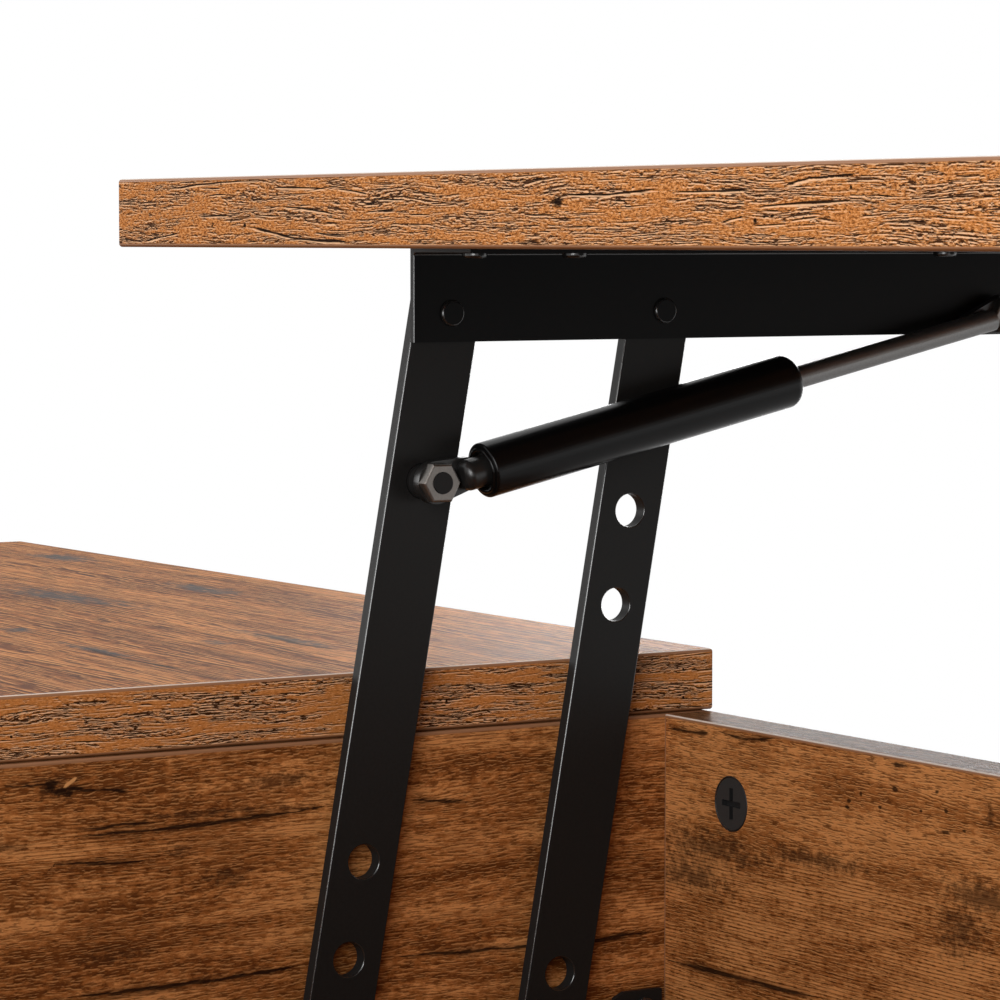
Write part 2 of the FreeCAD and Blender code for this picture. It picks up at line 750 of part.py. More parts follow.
def add_uprights():
    uprights = (("left_end_panel", left_panel_outer_x), ("partition", partition_left_x),
                ("right_end_panel", right_panel_inner_x))
    for name, face_x in uprights:
        board(name, face_x, face_x + panel_thickness, panel_front_y, panel_back_y,
              glide_height, top_under_z, panel_edge_radius)


def add_panels():
    board("front_panel", left_panel_inner_x, partition_left_x, panel_front_y, front_inner_y,
          compartment_under_z, top_under_z, panel_edge_radius)
    board("back_panel", left_panel_inner_x, partition_left_x, back_inner_y, panel_back_y,
          compartment_under_z, top_under_z, panel_edge_radius)
    board("cubby_back", partition_right_x, right_panel_inner_x, back_inner_y, panel_back_y,
          lower_shelf_top_z, top_under_z, panel_edge_radius)


def add_shelves():
    board("compartment_floor", left_panel_inner_x, partition_left_x, front_inner_y, back_inner_y,
          compartment_under_z, compartment_floor_z, panel_edge_radius)
    board("lower_shelf", left_panel_inner_x, partition_left_x, panel_front_y, panel_back_y,
          lower_shelf_height, lower_shelf_top_z, panel_edge_radius)
    board("cubby_shelf", partition_right_x, right_panel_inner_x, panel_front_y, back_inner_y,
          compartment_under_z, compartment_floor_z, panel_edge_radius)
    board("cubby_base", partition_right_x, right_panel_inner_x, panel_front_y, panel_back_y,
          lower_shelf_height, lower_shelf_top_z, panel_edge_radius)


def write_nodes():
    os.makedirs("parts", exist_ok=True)
    for name, solids in nodes.items():
        shape = solids[0] if len(solids) == 1 else Part.makeCompound(solids)
        shape.exportStep("parts/" + name + ".step")


join_boards()
add_glides()
add_mechanism()
add_screws()
add_tops()
add_uprights()
add_panels()
add_shelves()
nodes["cam_locks"] = cam_locks
nodes["cam_bolts"] = cam_bolts
nodes["wood_dowels"] = wood_dowels
write_nodes()
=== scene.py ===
"""Looks of a coffee table with a lifting top: boards, black steel lift, gas springs, fasteners and stage."""

import math
from typing import NamedTuple

import bmesh
import bpy
from bpy.props import FloatProperty, FloatVectorProperty, PointerProperty
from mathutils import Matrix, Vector


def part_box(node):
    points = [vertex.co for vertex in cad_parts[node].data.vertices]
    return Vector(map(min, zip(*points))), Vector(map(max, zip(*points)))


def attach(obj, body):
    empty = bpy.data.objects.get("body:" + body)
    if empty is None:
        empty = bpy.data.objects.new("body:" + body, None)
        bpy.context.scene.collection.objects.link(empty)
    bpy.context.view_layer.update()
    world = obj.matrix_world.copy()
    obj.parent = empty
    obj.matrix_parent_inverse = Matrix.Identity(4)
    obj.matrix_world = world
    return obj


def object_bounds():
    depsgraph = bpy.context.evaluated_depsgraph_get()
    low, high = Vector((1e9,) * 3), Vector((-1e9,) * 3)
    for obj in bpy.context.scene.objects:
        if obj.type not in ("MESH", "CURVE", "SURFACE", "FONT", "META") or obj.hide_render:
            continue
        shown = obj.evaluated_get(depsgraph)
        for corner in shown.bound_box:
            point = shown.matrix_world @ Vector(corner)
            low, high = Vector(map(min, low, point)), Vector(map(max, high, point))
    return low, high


bl_info = {
    "name": "Lift-top coffee table",
    "version": (1, 0, 0),
    "blender": (4, 5, 0),
    "location": "3D View > Sidebar > Table",
    "description": "Dresses the packed table in its boards, steel and fasteners, and sets its stage",
    "category": "Object",
}

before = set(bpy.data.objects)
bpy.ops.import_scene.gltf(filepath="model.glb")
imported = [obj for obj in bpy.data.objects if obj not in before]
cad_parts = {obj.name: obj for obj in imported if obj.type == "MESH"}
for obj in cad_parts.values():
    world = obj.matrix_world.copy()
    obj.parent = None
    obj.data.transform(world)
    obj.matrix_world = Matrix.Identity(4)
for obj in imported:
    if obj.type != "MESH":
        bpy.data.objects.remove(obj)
cad_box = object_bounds()

MILLIMETRES = 1000.0
WHITE = (1.0, 1.0, 1.0, 1.0)
NO_SHIFT = (0.0, 0.0, 0.0)

# Each board with the axis that it is thin along: its wide faces look that way.
TOPS = {"fixed_top": "Z", "lift_top": "Z"}
CASE_BOARDS = {
    "partition": "X", "left_end_panel": "X", "right_end_panel": "X",
    "front_panel": "Y", "back_panel": "Y", "cubby_back": "Y",
    "compartment_floor": "Z", "lower_shelf": "Z", "cubby_shelf": "Z", "cubby_base": "Z",
}
SIDES = ("right", "left")

# For a board thin along the key: which axes run along the grain, across it and out of the face,
# on faces that look along X, Y and Z.
GRAIN_AXES = {
    "X": ("YZX", "ZXY", "YXZ"),
    "Y": ("ZYX", "XZY", "XYZ"),
    "Z": ("YZX", "XZY", "XYZ"),
}
# Faces at different depths show different stretches of the print.
DEPTH_SHIFT = 3.7

# Material slots of a board, and how far a normal leans to the thin axis, from 0 to 1: past the first value on
# wide faces and below the second on narrow edges.
FACE_SLOT, EDGE_SLOT, ARRIS_SLOT, OUTSIDE_SLOT = range(4)
WIDE_FACE_LEAN = 0.98
NARROW_EDGE_LEAN = 0.2
# Leans between which a narrow edge turns from one axis to the other, and from upright to a sill.
EDGE_TURN = (0.65, 0.75)
SILL_LEAN = (0.7, 0.9)
# Leans between which an arris turns from painted shade below to plain, and those between which it turns to a
# painted pale highlight above, on these boards.
SHADED_LEAN = (-0.7, 0.1)
HIGHLIGHT_LEAN = {
    "fixed_top": (0.7, 0.9), "lift_top": (0.7, 0.9),
    "front_panel": (0.3, 0.6), "back_panel": (0.3, 0.6), "left_end_panel": (0.3, 0.6),
}
HIGHLIGHT_SHARE = 0.8

# Marks in the print, in millimetres along the grain and across it, from the part's own origin.
# Cracks and splinters are lines through points; the rest are (along, across, reach along, reach across).
FACE_CRACKS = {
    "partition": (
        ((33.4, 413.5), (74.3, 411.4), (114.2, 410.8)), ((41.1, 369.4), (80.6, 368.0), (116.9, 367.9)),
        ((-78.2, 368.3), (-55.7, 367.4), (-31.3, 368.0), (16.4, 369.2)), ((-12.5, 411.4), (8.6, 413.0)),
        ((89.5, 402.8), (117.8, 404.4), (121.0, 401.2)), ((93.9, 422.2), (116.1, 424.4)),
        ((117.6, 425.9), (133.5, 426.2)), ((86.4, 413.2), (111.8, 413.0)),
    ),
    "front_panel": (
        ((-7.2, 428.6), (15.3, 428.0)), ((-39.5, 430.7), (-25.0, 429.1), (-11.2, 429.9)),
        ((-63.1, 360.9), (-37.1, 360.1), (15.5, 359.8)),
    ),
    "fixed_top": (
        ((45.7, 60.9), (80.7, 63.1), (117.3, 59.6)), ((69.5, -1.5), (93.8, 0.1), (133.6, -3.3)),
        ((212.0, -5.6), (258.0, -4.8)),
    ),
}
FACE_SPLINTERS = {"partition": (((111.0, 427.2), (115.3, 424.6)),)}
FACE_STAINS = {
    "partition": (
        (115.8, 424.7, 9.0, 4.5), (51.9, 421.6, 14.0, 3.5), (80.4, 405.1, 5.0, 3.0),
        (131.8, 409.8, 9.0, 1.8), (66.0, 397.0, 10.0, 4.0), (101.7, 378.3, 16.0, 3.5),
        (70.0, 414.5, 34.0, 1.6),
    ),
    "front_panel": (
        (-8.0, 396.0, 36.0, 7.0), (-24.0, 394.0, 10.0, 5.0), (-58.0, 399.0, 32.0, 3.4),
        (-134.0, 399.0, 26.0, 6.0), (0.0, 386.0, 24.0, 6.0), (-122.0, 389.0, 14.0, 9.0),
        (-134.5, 421.5, 2.0, 6.0),
    ),
    "fixed_top": (
        (418.0, -77.0, 30.0, 10.0), (275.0, -7.0, 60.0, 12.0), (267.0, -60.0, 34.0, 8.0),
        (177.0, 54.0, 12.0, 6.0), (108.0, 59.0, 34.0, 4.5), (108.0, -3.0, 46.0, 5.0),
        (110.0, 20.0, 10.0, 6.0),
    ),
}
FACE_SPECKS = {
    "partition": ((118.6, 425.6, 2.2, 2.6), (116.0, 423.6, 2.6, 1.5), (113.4, 423.0, 1.6, 1.0)),
    "front_panel": (
        (-73.5, 417.4, 1.4, 0.8), (-72.7, 415.6, 1.2, 0.7), (-87.4, 417.4, 1.1, 0.7),
        (-94.0, 423.1, 1.4, 0.9), (-105.4, 418.6, 1.0, 0.6), (-112.1, 424.5, 1.1, 0.7),
        (-116.0, 419.9, 1.1, 0.9), (-116.1, 414.3, 2.4, 0.7), (-123.7, 415.6, 1.1, 0.6),
        (-96.0, 429.8, 4.0, 0.8), (-78.9, 420.0, 0.8, 0.9),
    ),
}
EDGE_CRACKS = {
    "lift_top": (
        ((-68.7, 585.4), (-42.2, 585.0), (-7.8, 583.6)), ((-97.7, 582.5), (-68.7, 583.7)),
        ((-117.4, 581.5), (-100.7, 582.7)), ((-134.9, 580.0), (-119.2, 580.7)),
        ((-47.2, 576.9), (-29.5, 576.5)), ((-71.5, 576.4), (-58.4, 576.9)),
        ((-102.6, 576.6), (-89.3, 577.9), (-72.5, 578.7)), ((-19.6, 572.3), (2.4, 570.3)),
        ((-111.8, 569.8), (-80.4, 571.1), (-52.4, 574.0)),
        ((-241.6, 581.1), (-220.2, 580.7), (-201.0, 580.6)),
        ((-272.8, 581.2), (-263.4, 580.8), (-243.7, 580.5)),
        ((-309.9, 578.7), (-289.5, 577.9), (-273.5, 577.2)),
        ((-309.8, 583.6), (-293.3, 582.9), (-283.5, 581.4)), ((-296.8, 575.4), (-286.0, 574.5)),
        ((-286.3, 573.9), (-273.5, 573.3)), ((-271.0, 575.5), (-262.2, 574.1)),
    ),
}
EDGE_SPECKS = {
    "lift_top": (
        (-41.9, 584.5, 0.6, 0.4), (-55.8, 581.1, 0.6, 0.45), (-71.5, 581.8, 0.6, 0.45),
        (-52.6, 578.0, 0.5, 0.4), (-47.2, 575.0, 0.6, 0.4), (-37.4, 574.5, 0.6, 0.4),
        (-54.5, 574.1, 1.2, 0.7), (-65.2, 572.7, 0.6, 0.5), (1.6, 572.1, 0.6, 0.4),
        (-274.6, 574.5, 0.9, 0.8), (-200.0, 578.9, 2.6, 1.5), (-280.6, 575.5, 0.8, 0.4),
    ),
}
# Patches of dense dashes.
EDGE_PATCHES = {
    "lift_top": ((-335.0, 579.5, 34.0, 5.0), (-292.0, 583.5, 24.0, 2.5), (-345.0, 572.0, 22.0, 3.0)),
}
# Levels of the slow noise between which an edge turns from plain to densely dashed.
DASHED_LEVELS = {"lift_top": (0.36, 0.66)}
PLAIN_LEVELS = (0.43, 0.57)
# Straight saw lines fill a board's print below the first level and fade out at the second.
SAWN_BELOW = {"front_panel": (393.0, 404.0)}
# Boards whose own print is only on the side that looks into the compartment: its way along the thin axis.
INNER_SIDES = {"front_panel": 1, "partition": -1}

# A line's taper as a share of its length, the least width of a short line as a share of a long one's, and the
# share of its width that is full.
LINE_TAPER = 0.2
SHORT_LINE = 0.4
LINE_CORE = 0.4
# A spot is full inside its core and gone at its rim, as shares of its reach.
SPOT_CORE = 0.45
SPOT_RIM = 1.05
# Random specks: their full core, and the step of chance between a cell with a speck and one without.
SPECK_CORE = 0.6
SPECK_STEP = 0.05
# Where the plain band along an arris begins to fade and ends, as shares of its width.
BAND_FADE = (0.75, 1.15)


class Noise(NamedTuple):
    """One of the noises in the prints: its own seed, its finer layers and how strong they are."""

    seed: int
    layers: float = 2.0
    roughness: float = 0.6


FACE_SWING = Noise(1, 1.0)
CLOUD = Noise(2, 3.0)
STREAK = Noise(3, 3.0, 0.7)
FIBRE = Noise(4)
BLOTCH = Noise(5, 4.0, 0.75)
SAW_PATCH = Noise(6, 1.0)
FACE_SPLIT = Noise(7)
CRUMB = Noise(8, 4.0, 0.7)
SAW_BEND = Noise(9, 1.0)
EDGE_SWING = Noise(11, 1.0)
CLUSTER = Noise(12)
SHORT_DASH = Noise(13)
SPECKLE = Noise(14, 2.0, 0.7)
EDGE_SPLIT = Noise(15)
LONG_DASH = Noise(16)
SILL_FIBRE = Noise(17, 3.0, 0.75)
# The mean level of a noise, and how far apart along and across the grain two seeds are.
MEAN_LEVEL = 0.5
SEED_STEPS = (7.31, 3.77)


class Dashes(NamedTuple):
    """Marks pressed in along the grain: length and width in millimetres, noise, levels where a mark is full
    and gone, how far below a mark its painted highlight rim is, and the levels where the marks lie densely."""

    size: tuple
    noise: Noise
    levels: tuple
    drop: float = 0.0
    dense_levels: tuple = ()


SHORT_DASHES = Dashes((3.0, 0.34), SHORT_DASH, (0.28, 0.32), 0.3, (0.43, 0.46))
LONG_DASHES = Dashes((11.0, 0.36), LONG_DASH, (0.30, 0.33), 0.32, (0.40, 0.43))
EDGE_SPLITS = Dashes((22.0, 0.5), EDGE_SPLIT, (0.32, 0.345), 0.32)
FACE_SPLITS = Dashes((110.0, 1.9), FACE_SPLIT, (0.29, 0.31))


class FacePrint(NamedTuple):
    """How a wide face is printed: sizes of its marks in millimetres, levels of its noises and shares.

    The values with a default are the same on all boards.
    """

    drift: float
    cloud: tuple
    streak: tuple
    crumb: tuple
    fibre: tuple
    blotch: tuple
    level_shares: tuple
    middle: float
    ramp: float
    groove_share: float
    glint_share: float
    clouded_share: float
    stain_share: float
    swing_along: float = 1.6
    swing_across: float = 2.0
    blotch_levels: tuple = (0.50, 0.62)
    fibre_levels: tuple = (0.40, 0.47)
    # How far below a fibre its painted highlight rim lies, as a share of the fibre's width.
    rim_highlight_drop: float = 0.65
    stain_blotches: float = 1.6
    stain_crumbs: float = 1.8
    stain_core: float = 0.05
    splinter_width: float = 0.8
    splinter_length: float = 1.0
    splinter_share: float = 0.9
    crack_wobble: float = 2.4
    crack_length: float = 110.0
    crack_width: float = 0.7
    crack_share: float = 0.86
    # Painted shade: a soft dark band on either side of each placed crack, its width and strength.
    crack_shade_width: float = 2.0
    crack_shade_share: float = 0.4
    speck_cell: float = 19.0
    speck_size: float = 0.8
    speck_chance: float = 0.06


TOP_PRINT = FacePrint(
    drift=16.0, cloud=(240.0, 18.0), streak=(60.0, 2.2), crumb=(6.0, 4.0), fibre=(26.0, 1.1),
    blotch=(70.0, 10.0), level_shares=(0.4, 0.38, 0.22), middle=0.5, ramp=0.06, groove_share=0.8,
    glint_share=0.8, clouded_share=0.3, stain_share=0.85,
)
PANEL_PRINT = FacePrint(
    drift=1.5, cloud=(40.0, 10.0), streak=(22.0, 1.2), crumb=(3.0, 2.0), fibre=(5.0, 0.45),
    blotch=(20.0, 8.0), level_shares=(0.45, 0.3, 0.25), middle=0.45, ramp=0.11, groove_share=0.68,
    glint_share=0.62, clouded_share=0.25, stain_share=0.72,
)
PARTITION_PRINT = FacePrint(
    drift=6.0, cloud=(90.0, 10.0), streak=(14.0, 1.3), crumb=(3.4, 1.9), fibre=(4.5, 0.52),
    blotch=(44.0, 8.0), level_shares=(0.45, 0.25, 0.3), middle=0.505, ramp=0.085, groove_share=0.55,
    glint_share=0.46, clouded_share=0.45, stain_share=0.66,
)
CASE_PRINT = FacePrint(
    drift=22.0, cloud=(260.0, 16.0), streak=(70.0, 2.4), crumb=(5.0, 2.2), fibre=(14.0, 0.6),
    blotch=(90.0, 12.0), level_shares=(0.45, 0.38, 0.17), middle=0.5, ramp=0.08, groove_share=0.6,
    glint_share=0.5, clouded_share=0.35, stain_share=0.0,
)
FACE_PRINTS = {
    "fixed_top": TOP_PRINT, "lift_top": TOP_PRINT, "front_panel": PANEL_PRINT, "partition": PARTITION_PRINT,
}


class SawMarks(NamedTuple):
    """Straight marks of the saw: sizes in millimetres, levels of their noises and shares."""

    pitch: float = 1.05
    bend: tuple = (90.0, 30.0)
    bend_reach: float = 1.2
    faded_share: float = 0.12
    patch: tuple = (60.0, 22.0)
    patch_levels: tuple = (0.52, 0.64)
    patch_share: float = 0.8
    wave_levels: tuple = (-0.1, 0.9)
    crumb_levels: tuple = (0.36, 0.56)
    crumb_share: float = 0.6
    fibres_lost: float = 0.7
    tone_share: float = 0.95
    depth_share: float = 0.7


class EdgePrint(NamedTuple):
    """How a narrow edge is printed: sizes of its marks in millimetres, levels of its noises and shares."""

    drift: float = 3.0
    swing: tuple = (36.0, 9.0)
    cluster: tuple = (34.0, 3.2)
    speckle: tuple = (1.2, 0.42)
    patch_ragged: float = 1.5
    patch_core: float = 0.1
    patch_rise: float = 0.13
    warm_levels: tuple = (0.44, 0.66)
    warm_share: float = 0.8
    plain_speckled: float = 0.35
    dashed_speckled: float = 0.85
    brown_levels: tuple = (0.38, 0.46)
    brown_share: float = 0.95
    light_levels: tuple = (0.54, 0.62)
    light_share: float = 0.9
    # Strength of the painted highlight rims under the dashes.
    rim_highlight_share: float = 0.8
    dash_share: float = 0.95
    crack_wobble: float = 1.4
    crack_length: float = 30.0
    crack_width: float = 0.3
    crack_share: float = 0.97
    # A painted highlight line just below each placed crack: how far below, how wide and how strong.
    glint_drop: float = 0.4
    glint_width: float = 0.26
    glint_share: float = 0.85
    pore_ragged: float = 0.8
    pore_cell: float = 9.0
    pore_size: float = 0.5
    pore_chance: float = 0.16
    sill_fibre: tuple = (9.0, 1.3)
    sill_levels: tuple = (0.3, 0.7)
    sill_share: float = 0.85
    sill_dashes: float = 0.15


SAW, EDGE = SawMarks(), EdgePrint()


def colour(name, words, default):
    return FloatVectorProperty(name=name, description=words, subtype="COLOR", size=3, min=0, max=1,
                               default=default)


def share(name, words, default):
    return FloatProperty(name=name, description=words, subtype="FACTOR", min=0, max=1, default=default)


def length(name, words, default):
    return FloatProperty(name=name, description=words, subtype="DISTANCE", unit="LENGTH", precision=5,
                         default=default)


def power(name, words, default):
    return FloatProperty(name=name, description=words, subtype="POWER", unit="POWER", min=0, default=default)


class BoardFinish(bpy.types.PropertyGroup):
    """Printed faces and embossed edges of the boards, with painted highlights and painted shade along some
    marks and arrises.
    """

    face_light: colour("Face light", "Light wood between the fibres of a wide face", (0.60, 0.245, 0.078))
    face_mid: colour("Face mid", "Common tone of a wide face", (0.33, 0.113, 0.029))
    # Painted highlight along the rims of the pressed fibres; the same pale tone draws the splinters.
    face_glint: colour("Face glint", "Bright rims under the pressed fibres", (0.66, 0.31, 0.11))
    face_groove: colour("Face groove", "Pressed fibres of a wide face", (0.060, 0.017, 0.0045))
    face_dark: colour("Face dark", "Dark clouds on a wide face", (0.135, 0.040, 0.009))
    # Painted highlight along the rims of the dashes and below the placed cracks.
    edge_glint: colour("Edge glint", "Bright rims under the dashes of a narrow edge", (0.86, 0.52, 0.30))
    edge_light: colour("Edge light", "Light specks of a narrow edge", (0.70, 0.34, 0.135))
    edge_mid: colour("Edge mid", "Common tone of a narrow edge", (0.49, 0.175, 0.044))
    edge_brown: colour("Edge brown", "Brown specks of a narrow edge", (0.125, 0.040, 0.0115))
    edge_warm: colour("Edge warm", "Browner stretches of a narrow edge", (0.31, 0.112, 0.034))
    edge_dark: colour("Edge dark", "Dark dashes on a narrow edge", (0.035, 0.012, 0.005))
    crack: colour("Cracks", "Cracks, pores and worm holes", (0.009, 0.004, 0.0025))
    stain: colour("Stains", "Smoky stains of a wide face", (0.038, 0.0145, 0.006))
    weathered: colour("Weathered", "Grey stains of the tops", (0.045, 0.052, 0.056))
    sill: colour("Sill", "Worn tone of the panels' upper edges", (0.20, 0.095, 0.042))
    sill_dark: colour("Sill dark", "Dark fibres of the panels' upper edges", (0.03, 0.014, 0.007))
    band: colour("Arris band", "Plain band along the rounded arrises", (0.30, 0.140, 0.068))
    # The two arris tones below are painted light: shade on arrises that look down, a pale highlight on those
    # that look up.
    band_shade: colour("Arris shade", "Lower arrises, painted shade", (0.16, 0.058, 0.018))
    band_highlight: colour("Arris highlight", "Upper arrises, painted pale highlight", (0.90, 0.80, 0.70))
    face_roughness: share("Face roughness", "How dull the wide faces are", 0.46)
    top_roughness: share("Top roughness", "How dull the wide faces of the tops are", 0.5)
    edge_roughness: share("Edge roughness", "How dull the narrow edges are", 0.5)
    face_gloss: share("Face gloss", "Strength of the wide faces' reflection", 0.03)
    edge_gloss: share("Edge gloss", "Strength of the tops' edges' reflection", 0.006)
    arris_gloss: share("Arris gloss", "Strength of the arrises' reflection", 0.3)
    arris_roughness: share("Arris roughness", "How dull the arrises are", 0.4)
    sill_gloss: share("Sill gloss", "Strength of the panels' edges' reflection", 0.004)
    sill_roughness: share("Sill roughness", "How dull the panels' upper edges are", 0.42)
    face_relief: length("Face relief", "Depth of the grain pressed in the wide faces", 0.00005)
    edge_relief: length("Edge relief", "Depth of the grain pressed in the narrow edges", 0.0001)
    band_width: length("Band width", "Width of the plain band along an arris", 0.001)


class SteelFinish(bpy.types.PropertyGroup):
    """Painted steel of the lift, and the steel, plastic and wood of its fasteners."""

    paint: colour("Paint", "Satin black coat of arms and brackets", (0.012, 0.0115, 0.011))
    # Painted shade: a darker copy of the satin black for the brackets and rivets under the top.
    bracket: colour("Bracket", "Deeper black of the brackets under the top", (0.002, 0.002, 0.002))
    cut: colour("Cut sides", "Duller coat on the cut sides of the plates", (0.018, 0.0175, 0.017))
    paint_roughness: share("Paint roughness", "How dull the satin coat is", 0.38)
    paint_gloss: share("Paint gloss", "Strength of the satin coat's reflection", 0.13)
    rubbed_gloss: share("Rim gloss", "Strength of the reflection on rounded rims", 1.0)
    rubbed_roughness: share("Rim roughness", "How dull rounded rims are", 0.22)
    tube: colour("Tube", "Glossy black of the gas cylinders", (0.0025, 0.0024, 0.0024))
    tube_roughness: share("Tube roughness", "How dull the cylinders are", 0.26)
    tube_gloss: share("Tube gloss", "Strength of the cylinders' reflection", 0.22)
    rod: colour("Rod", "Ground steel of the gas springs' rods", (0.22, 0.215, 0.21))
    nut: colour("Nut", "Bare steel of the nuts", (0.22, 0.205, 0.19))
    washer: colour("Washer", "Black nylon of the pivots' washers", (0.02, 0.02, 0.02))
    seal: colour("Seal", "Plastic of the glands and pistons", (0.03, 0.03, 0.03))
    fitting: colour("Fitting", "Dark eye fittings of the gas springs", (0.012, 0.0115, 0.011))
    cam: colour("Cam", "Dark cast metal of the cam locks", (0.03, 0.029, 0.028))
    bolt: colour("Bolt", "Zinc of the cam locks' bolts", (0.5, 0.5, 0.48))
    dowel: colour("Dowel", "Beech of the dowels", (0.55, 0.38, 0.2))
    glide: colour("Glide", "Plastic of the glides", (0.035, 0.03, 0.027))
    # Painted shadow: the ring round each cam lock and the inner faces of its slots.
    rim: colour("Rim", "Shadow line round a cam lock", (0.004, 0.004, 0.004))
    rim_radius: length("Rim radius", "Radius of the ring round a cam lock", 0.0078)
    rim_thickness: length("Rim thickness", "Half the thickness of that ring", 0.00022)


class StageSettings(bpy.types.PropertyGroup):
    """Camera, lamps and floor."""

    eye: FloatVectorProperty(
        name="Eye", description="Place of the camera", subtype="TRANSLATION", unit="LENGTH", size=3,
        default=(-0.93, 0.56566, 0.5715))
    gaze: FloatVectorProperty(
        name="Gaze", description="Way the camera looks", subtype="DIRECTION", size=3,
        default=(0.84759, -0.52631, -0.06701))
    lens: FloatProperty(
        name="Lens", description="Focal length in millimetres on a 36 mm sensor", subtype="DISTANCE_CAMERA",
        unit="CAMERA", default=141.66)
    ambient: FloatProperty(name="Ambient", description="Even light from all round", default=0.35)
    key_power: power("Key", "Power of the large lamp behind the table", 38.0)
    side_power: power("Side", "Power of the lamp at the right", 10.0)
    rim_power: power("Rim", "Power of the lamp at the front right", 24.0)
    overhead_power: power("Overhead", "Power of the lamp overhead", 14.0)
    floor_tone: colour("Floor", "Pale floor", (0.8, 0.8, 0.8))
    floor_roughness: share("Floor roughness", "How dull the floor is", 0.7)
    floor_radius: length("Floor radius", "Reach of the floor", 2.4)


class Sketch:
    """A node tree filled by short calls; each call gives the socket that holds its result."""

    def __init__(self, tree):
        self.tree = tree

    def node(self, kind, sockets, **settings):
        made = self.tree.nodes.new(kind)
        for name, value in settings.items():
            setattr(made, name, value)
        for key, value in sockets.items():
            if isinstance(value, bpy.types.NodeSocket):
                self.tree.links.new(value, made.inputs[key])
            else:
                made.inputs[key].default_value = value
        return made

    def math(self, operation, first, second=0.0):
        return self.node("ShaderNodeMath", {0: first, 1: second}, operation=operation).outputs[0]

    def add(self, first, second):
        return self.math("ADD", first, second)

    def minus(self, first, second):
        return self.math("SUBTRACT", first, second)

    def times(self, first, second):
        return self.math("MULTIPLY", first, second)

    def either(self, first, second):
        return self.math("MAXIMUM", first, second)

    def nearer(self, first, second):
        return self.math("MINIMUM", first, second)

    def size(self, value):
        return self.math("ABSOLUTE", value)

    def join(self, x, y, z=0.0):
        return self.node("ShaderNodeCombineXYZ", {0: x, 1: y, 2: z}).outputs[0]

    def split(self, vector):
        return self.node("ShaderNodeSeparateXYZ", {0: vector}).outputs

    def reach(self, vector):
        return self.node("ShaderNodeVectorMath", {0: vector}, operation="LENGTH").outputs["Value"]

    def affine(self, vector, scale, offset):
        sockets = {0: vector, 1: scale, 2: offset}
        return self.node("ShaderNodeVectorMath", sockets, operation="MULTIPLY_ADD").outputs[0]

    def step(self, value, low, high, at_low=0.0, at_high=1.0):
        # A soft step: at_low below low, at_high above high.
        sockets = {0: value, 1: low, 2: high, 3: at_low, 4: at_high}
        return self.node("ShaderNodeMapRange", sockets, interpolation_type="SMOOTHSTEP").outputs[0]

    def slope(self, value, low, high, at_low, at_high):
        # A straight slope between two flat runs.
        sockets = {0: value, 1: low, 2: high, 3: at_low, 4: at_high}
        return self.node("ShaderNodeMapRange", sockets).outputs[0]

    def mix(self, factor, first, second):
        return self.node("ShaderNodeMix", {0: factor, 6: first, 7: second}, data_type="RGBA").outputs[2]

    def stain(self, factor, strength, under, tone):
        # A tone laid over another where factor is 1, as strongly as strength.
        return self.mix(self.times(factor, strength), under, opaque(tone))

    def mix_vector(self, factor, first, second):
        return self.node("ShaderNodeMix", {0: factor, 4: first, 5: second}, data_type="VECTOR").outputs[1]

    def field(self, grain, size, noise, lift=0.0):
        # Noise with spots of this length and width in millimetres, looked up lift further across the grain.
        along, across = size
        offset = (SEED_STEPS[0] * noise.seed, SEED_STEPS[1] * noise.seed + lift / across, 0.0)
        place = self.affine(grain, (1 / along, 1 / across, 0.0), offset)
        sockets = {"Vector": place, "Scale": 1.0, "Detail": noise.layers, "Roughness": noise.roughness}
        return self.node("ShaderNodeTexNoise", sockets, noise_dimensions="2D").outputs[0]

    def swing(self, noise, reach):
        # A noise turned to a swing to both sides.
        return self.times(self.minus(noise, MEAN_LEVEL), reach)

    def specks(self, grain, cell, size, chance):
        # Round spots in some of the cells of a random lattice.
        place = self.affine(grain, (1 / cell, 1 / cell, 0.0), NO_SHIFT)
        cells = self.node("ShaderNodeTexVoronoi", {"Vector": place, "Scale": 1.0}, voronoi_dimensions="2D")
        spot = self.step(cells.outputs["Distance"], size * SPECK_CORE / cell, size / cell, 1.0, 0.0)
        pick = self.split(cells.outputs["Color"])[0]
        return self.times(spot, self.step(pick, 1 - chance, 1 - chance + SPECK_STEP))

    def object_place(self):
        return self.node("ShaderNodeTexCoord", {}).outputs["Object"]

    def backdrop_rays(self):
        # 1 where the eye meets the surface, straight or by way of a mirror or glass.
        rays = self.node("ShaderNodeLightPath", {}).outputs
        seen = self.either(rays["Is Camera Ray"], rays["Is Glossy Ray"])
        return self.either(seen, rays["Is Transmission Ray"])


def opaque(tone):
    return (*tone, 1.0)


def new_material(name, **constants):
    """A material with one Principled shader; constants are set on the shader's own sockets."""
    made = bpy.data.materials.new(name)
    made.use_nodes = True
    sketch = Sketch(made.node_tree)
    shader = made.node_tree.nodes["Principled BSDF"]
    for socket, value in constants.items():
        shader.inputs[socket.replace("_", " ")].default_value = value
    return made, sketch, shader


def dress(node_name, *materials):
    """Gives a node these materials as its slots, and returns its mesh."""
    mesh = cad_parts[node_name].data
    mesh.materials.clear()
    for material in materials:
        mesh.materials.append(material)
    return mesh


# Boards


def read_axes(sketch):
    """Millimetres along X, Y and Z."""
    place = sketch.affine(sketch.object_place(), (MILLIMETRES,) * 3, NO_SHIFT)
    return dict(zip("XYZ", sketch.split(place)))


def read_looks(sketch):
    """How far the face looks along X, Y and Z."""
    normal = sketch.node("ShaderNodeNewGeometry", {}).outputs["True Normal"]
    return dict(zip("XYZ", sketch.split(normal)))


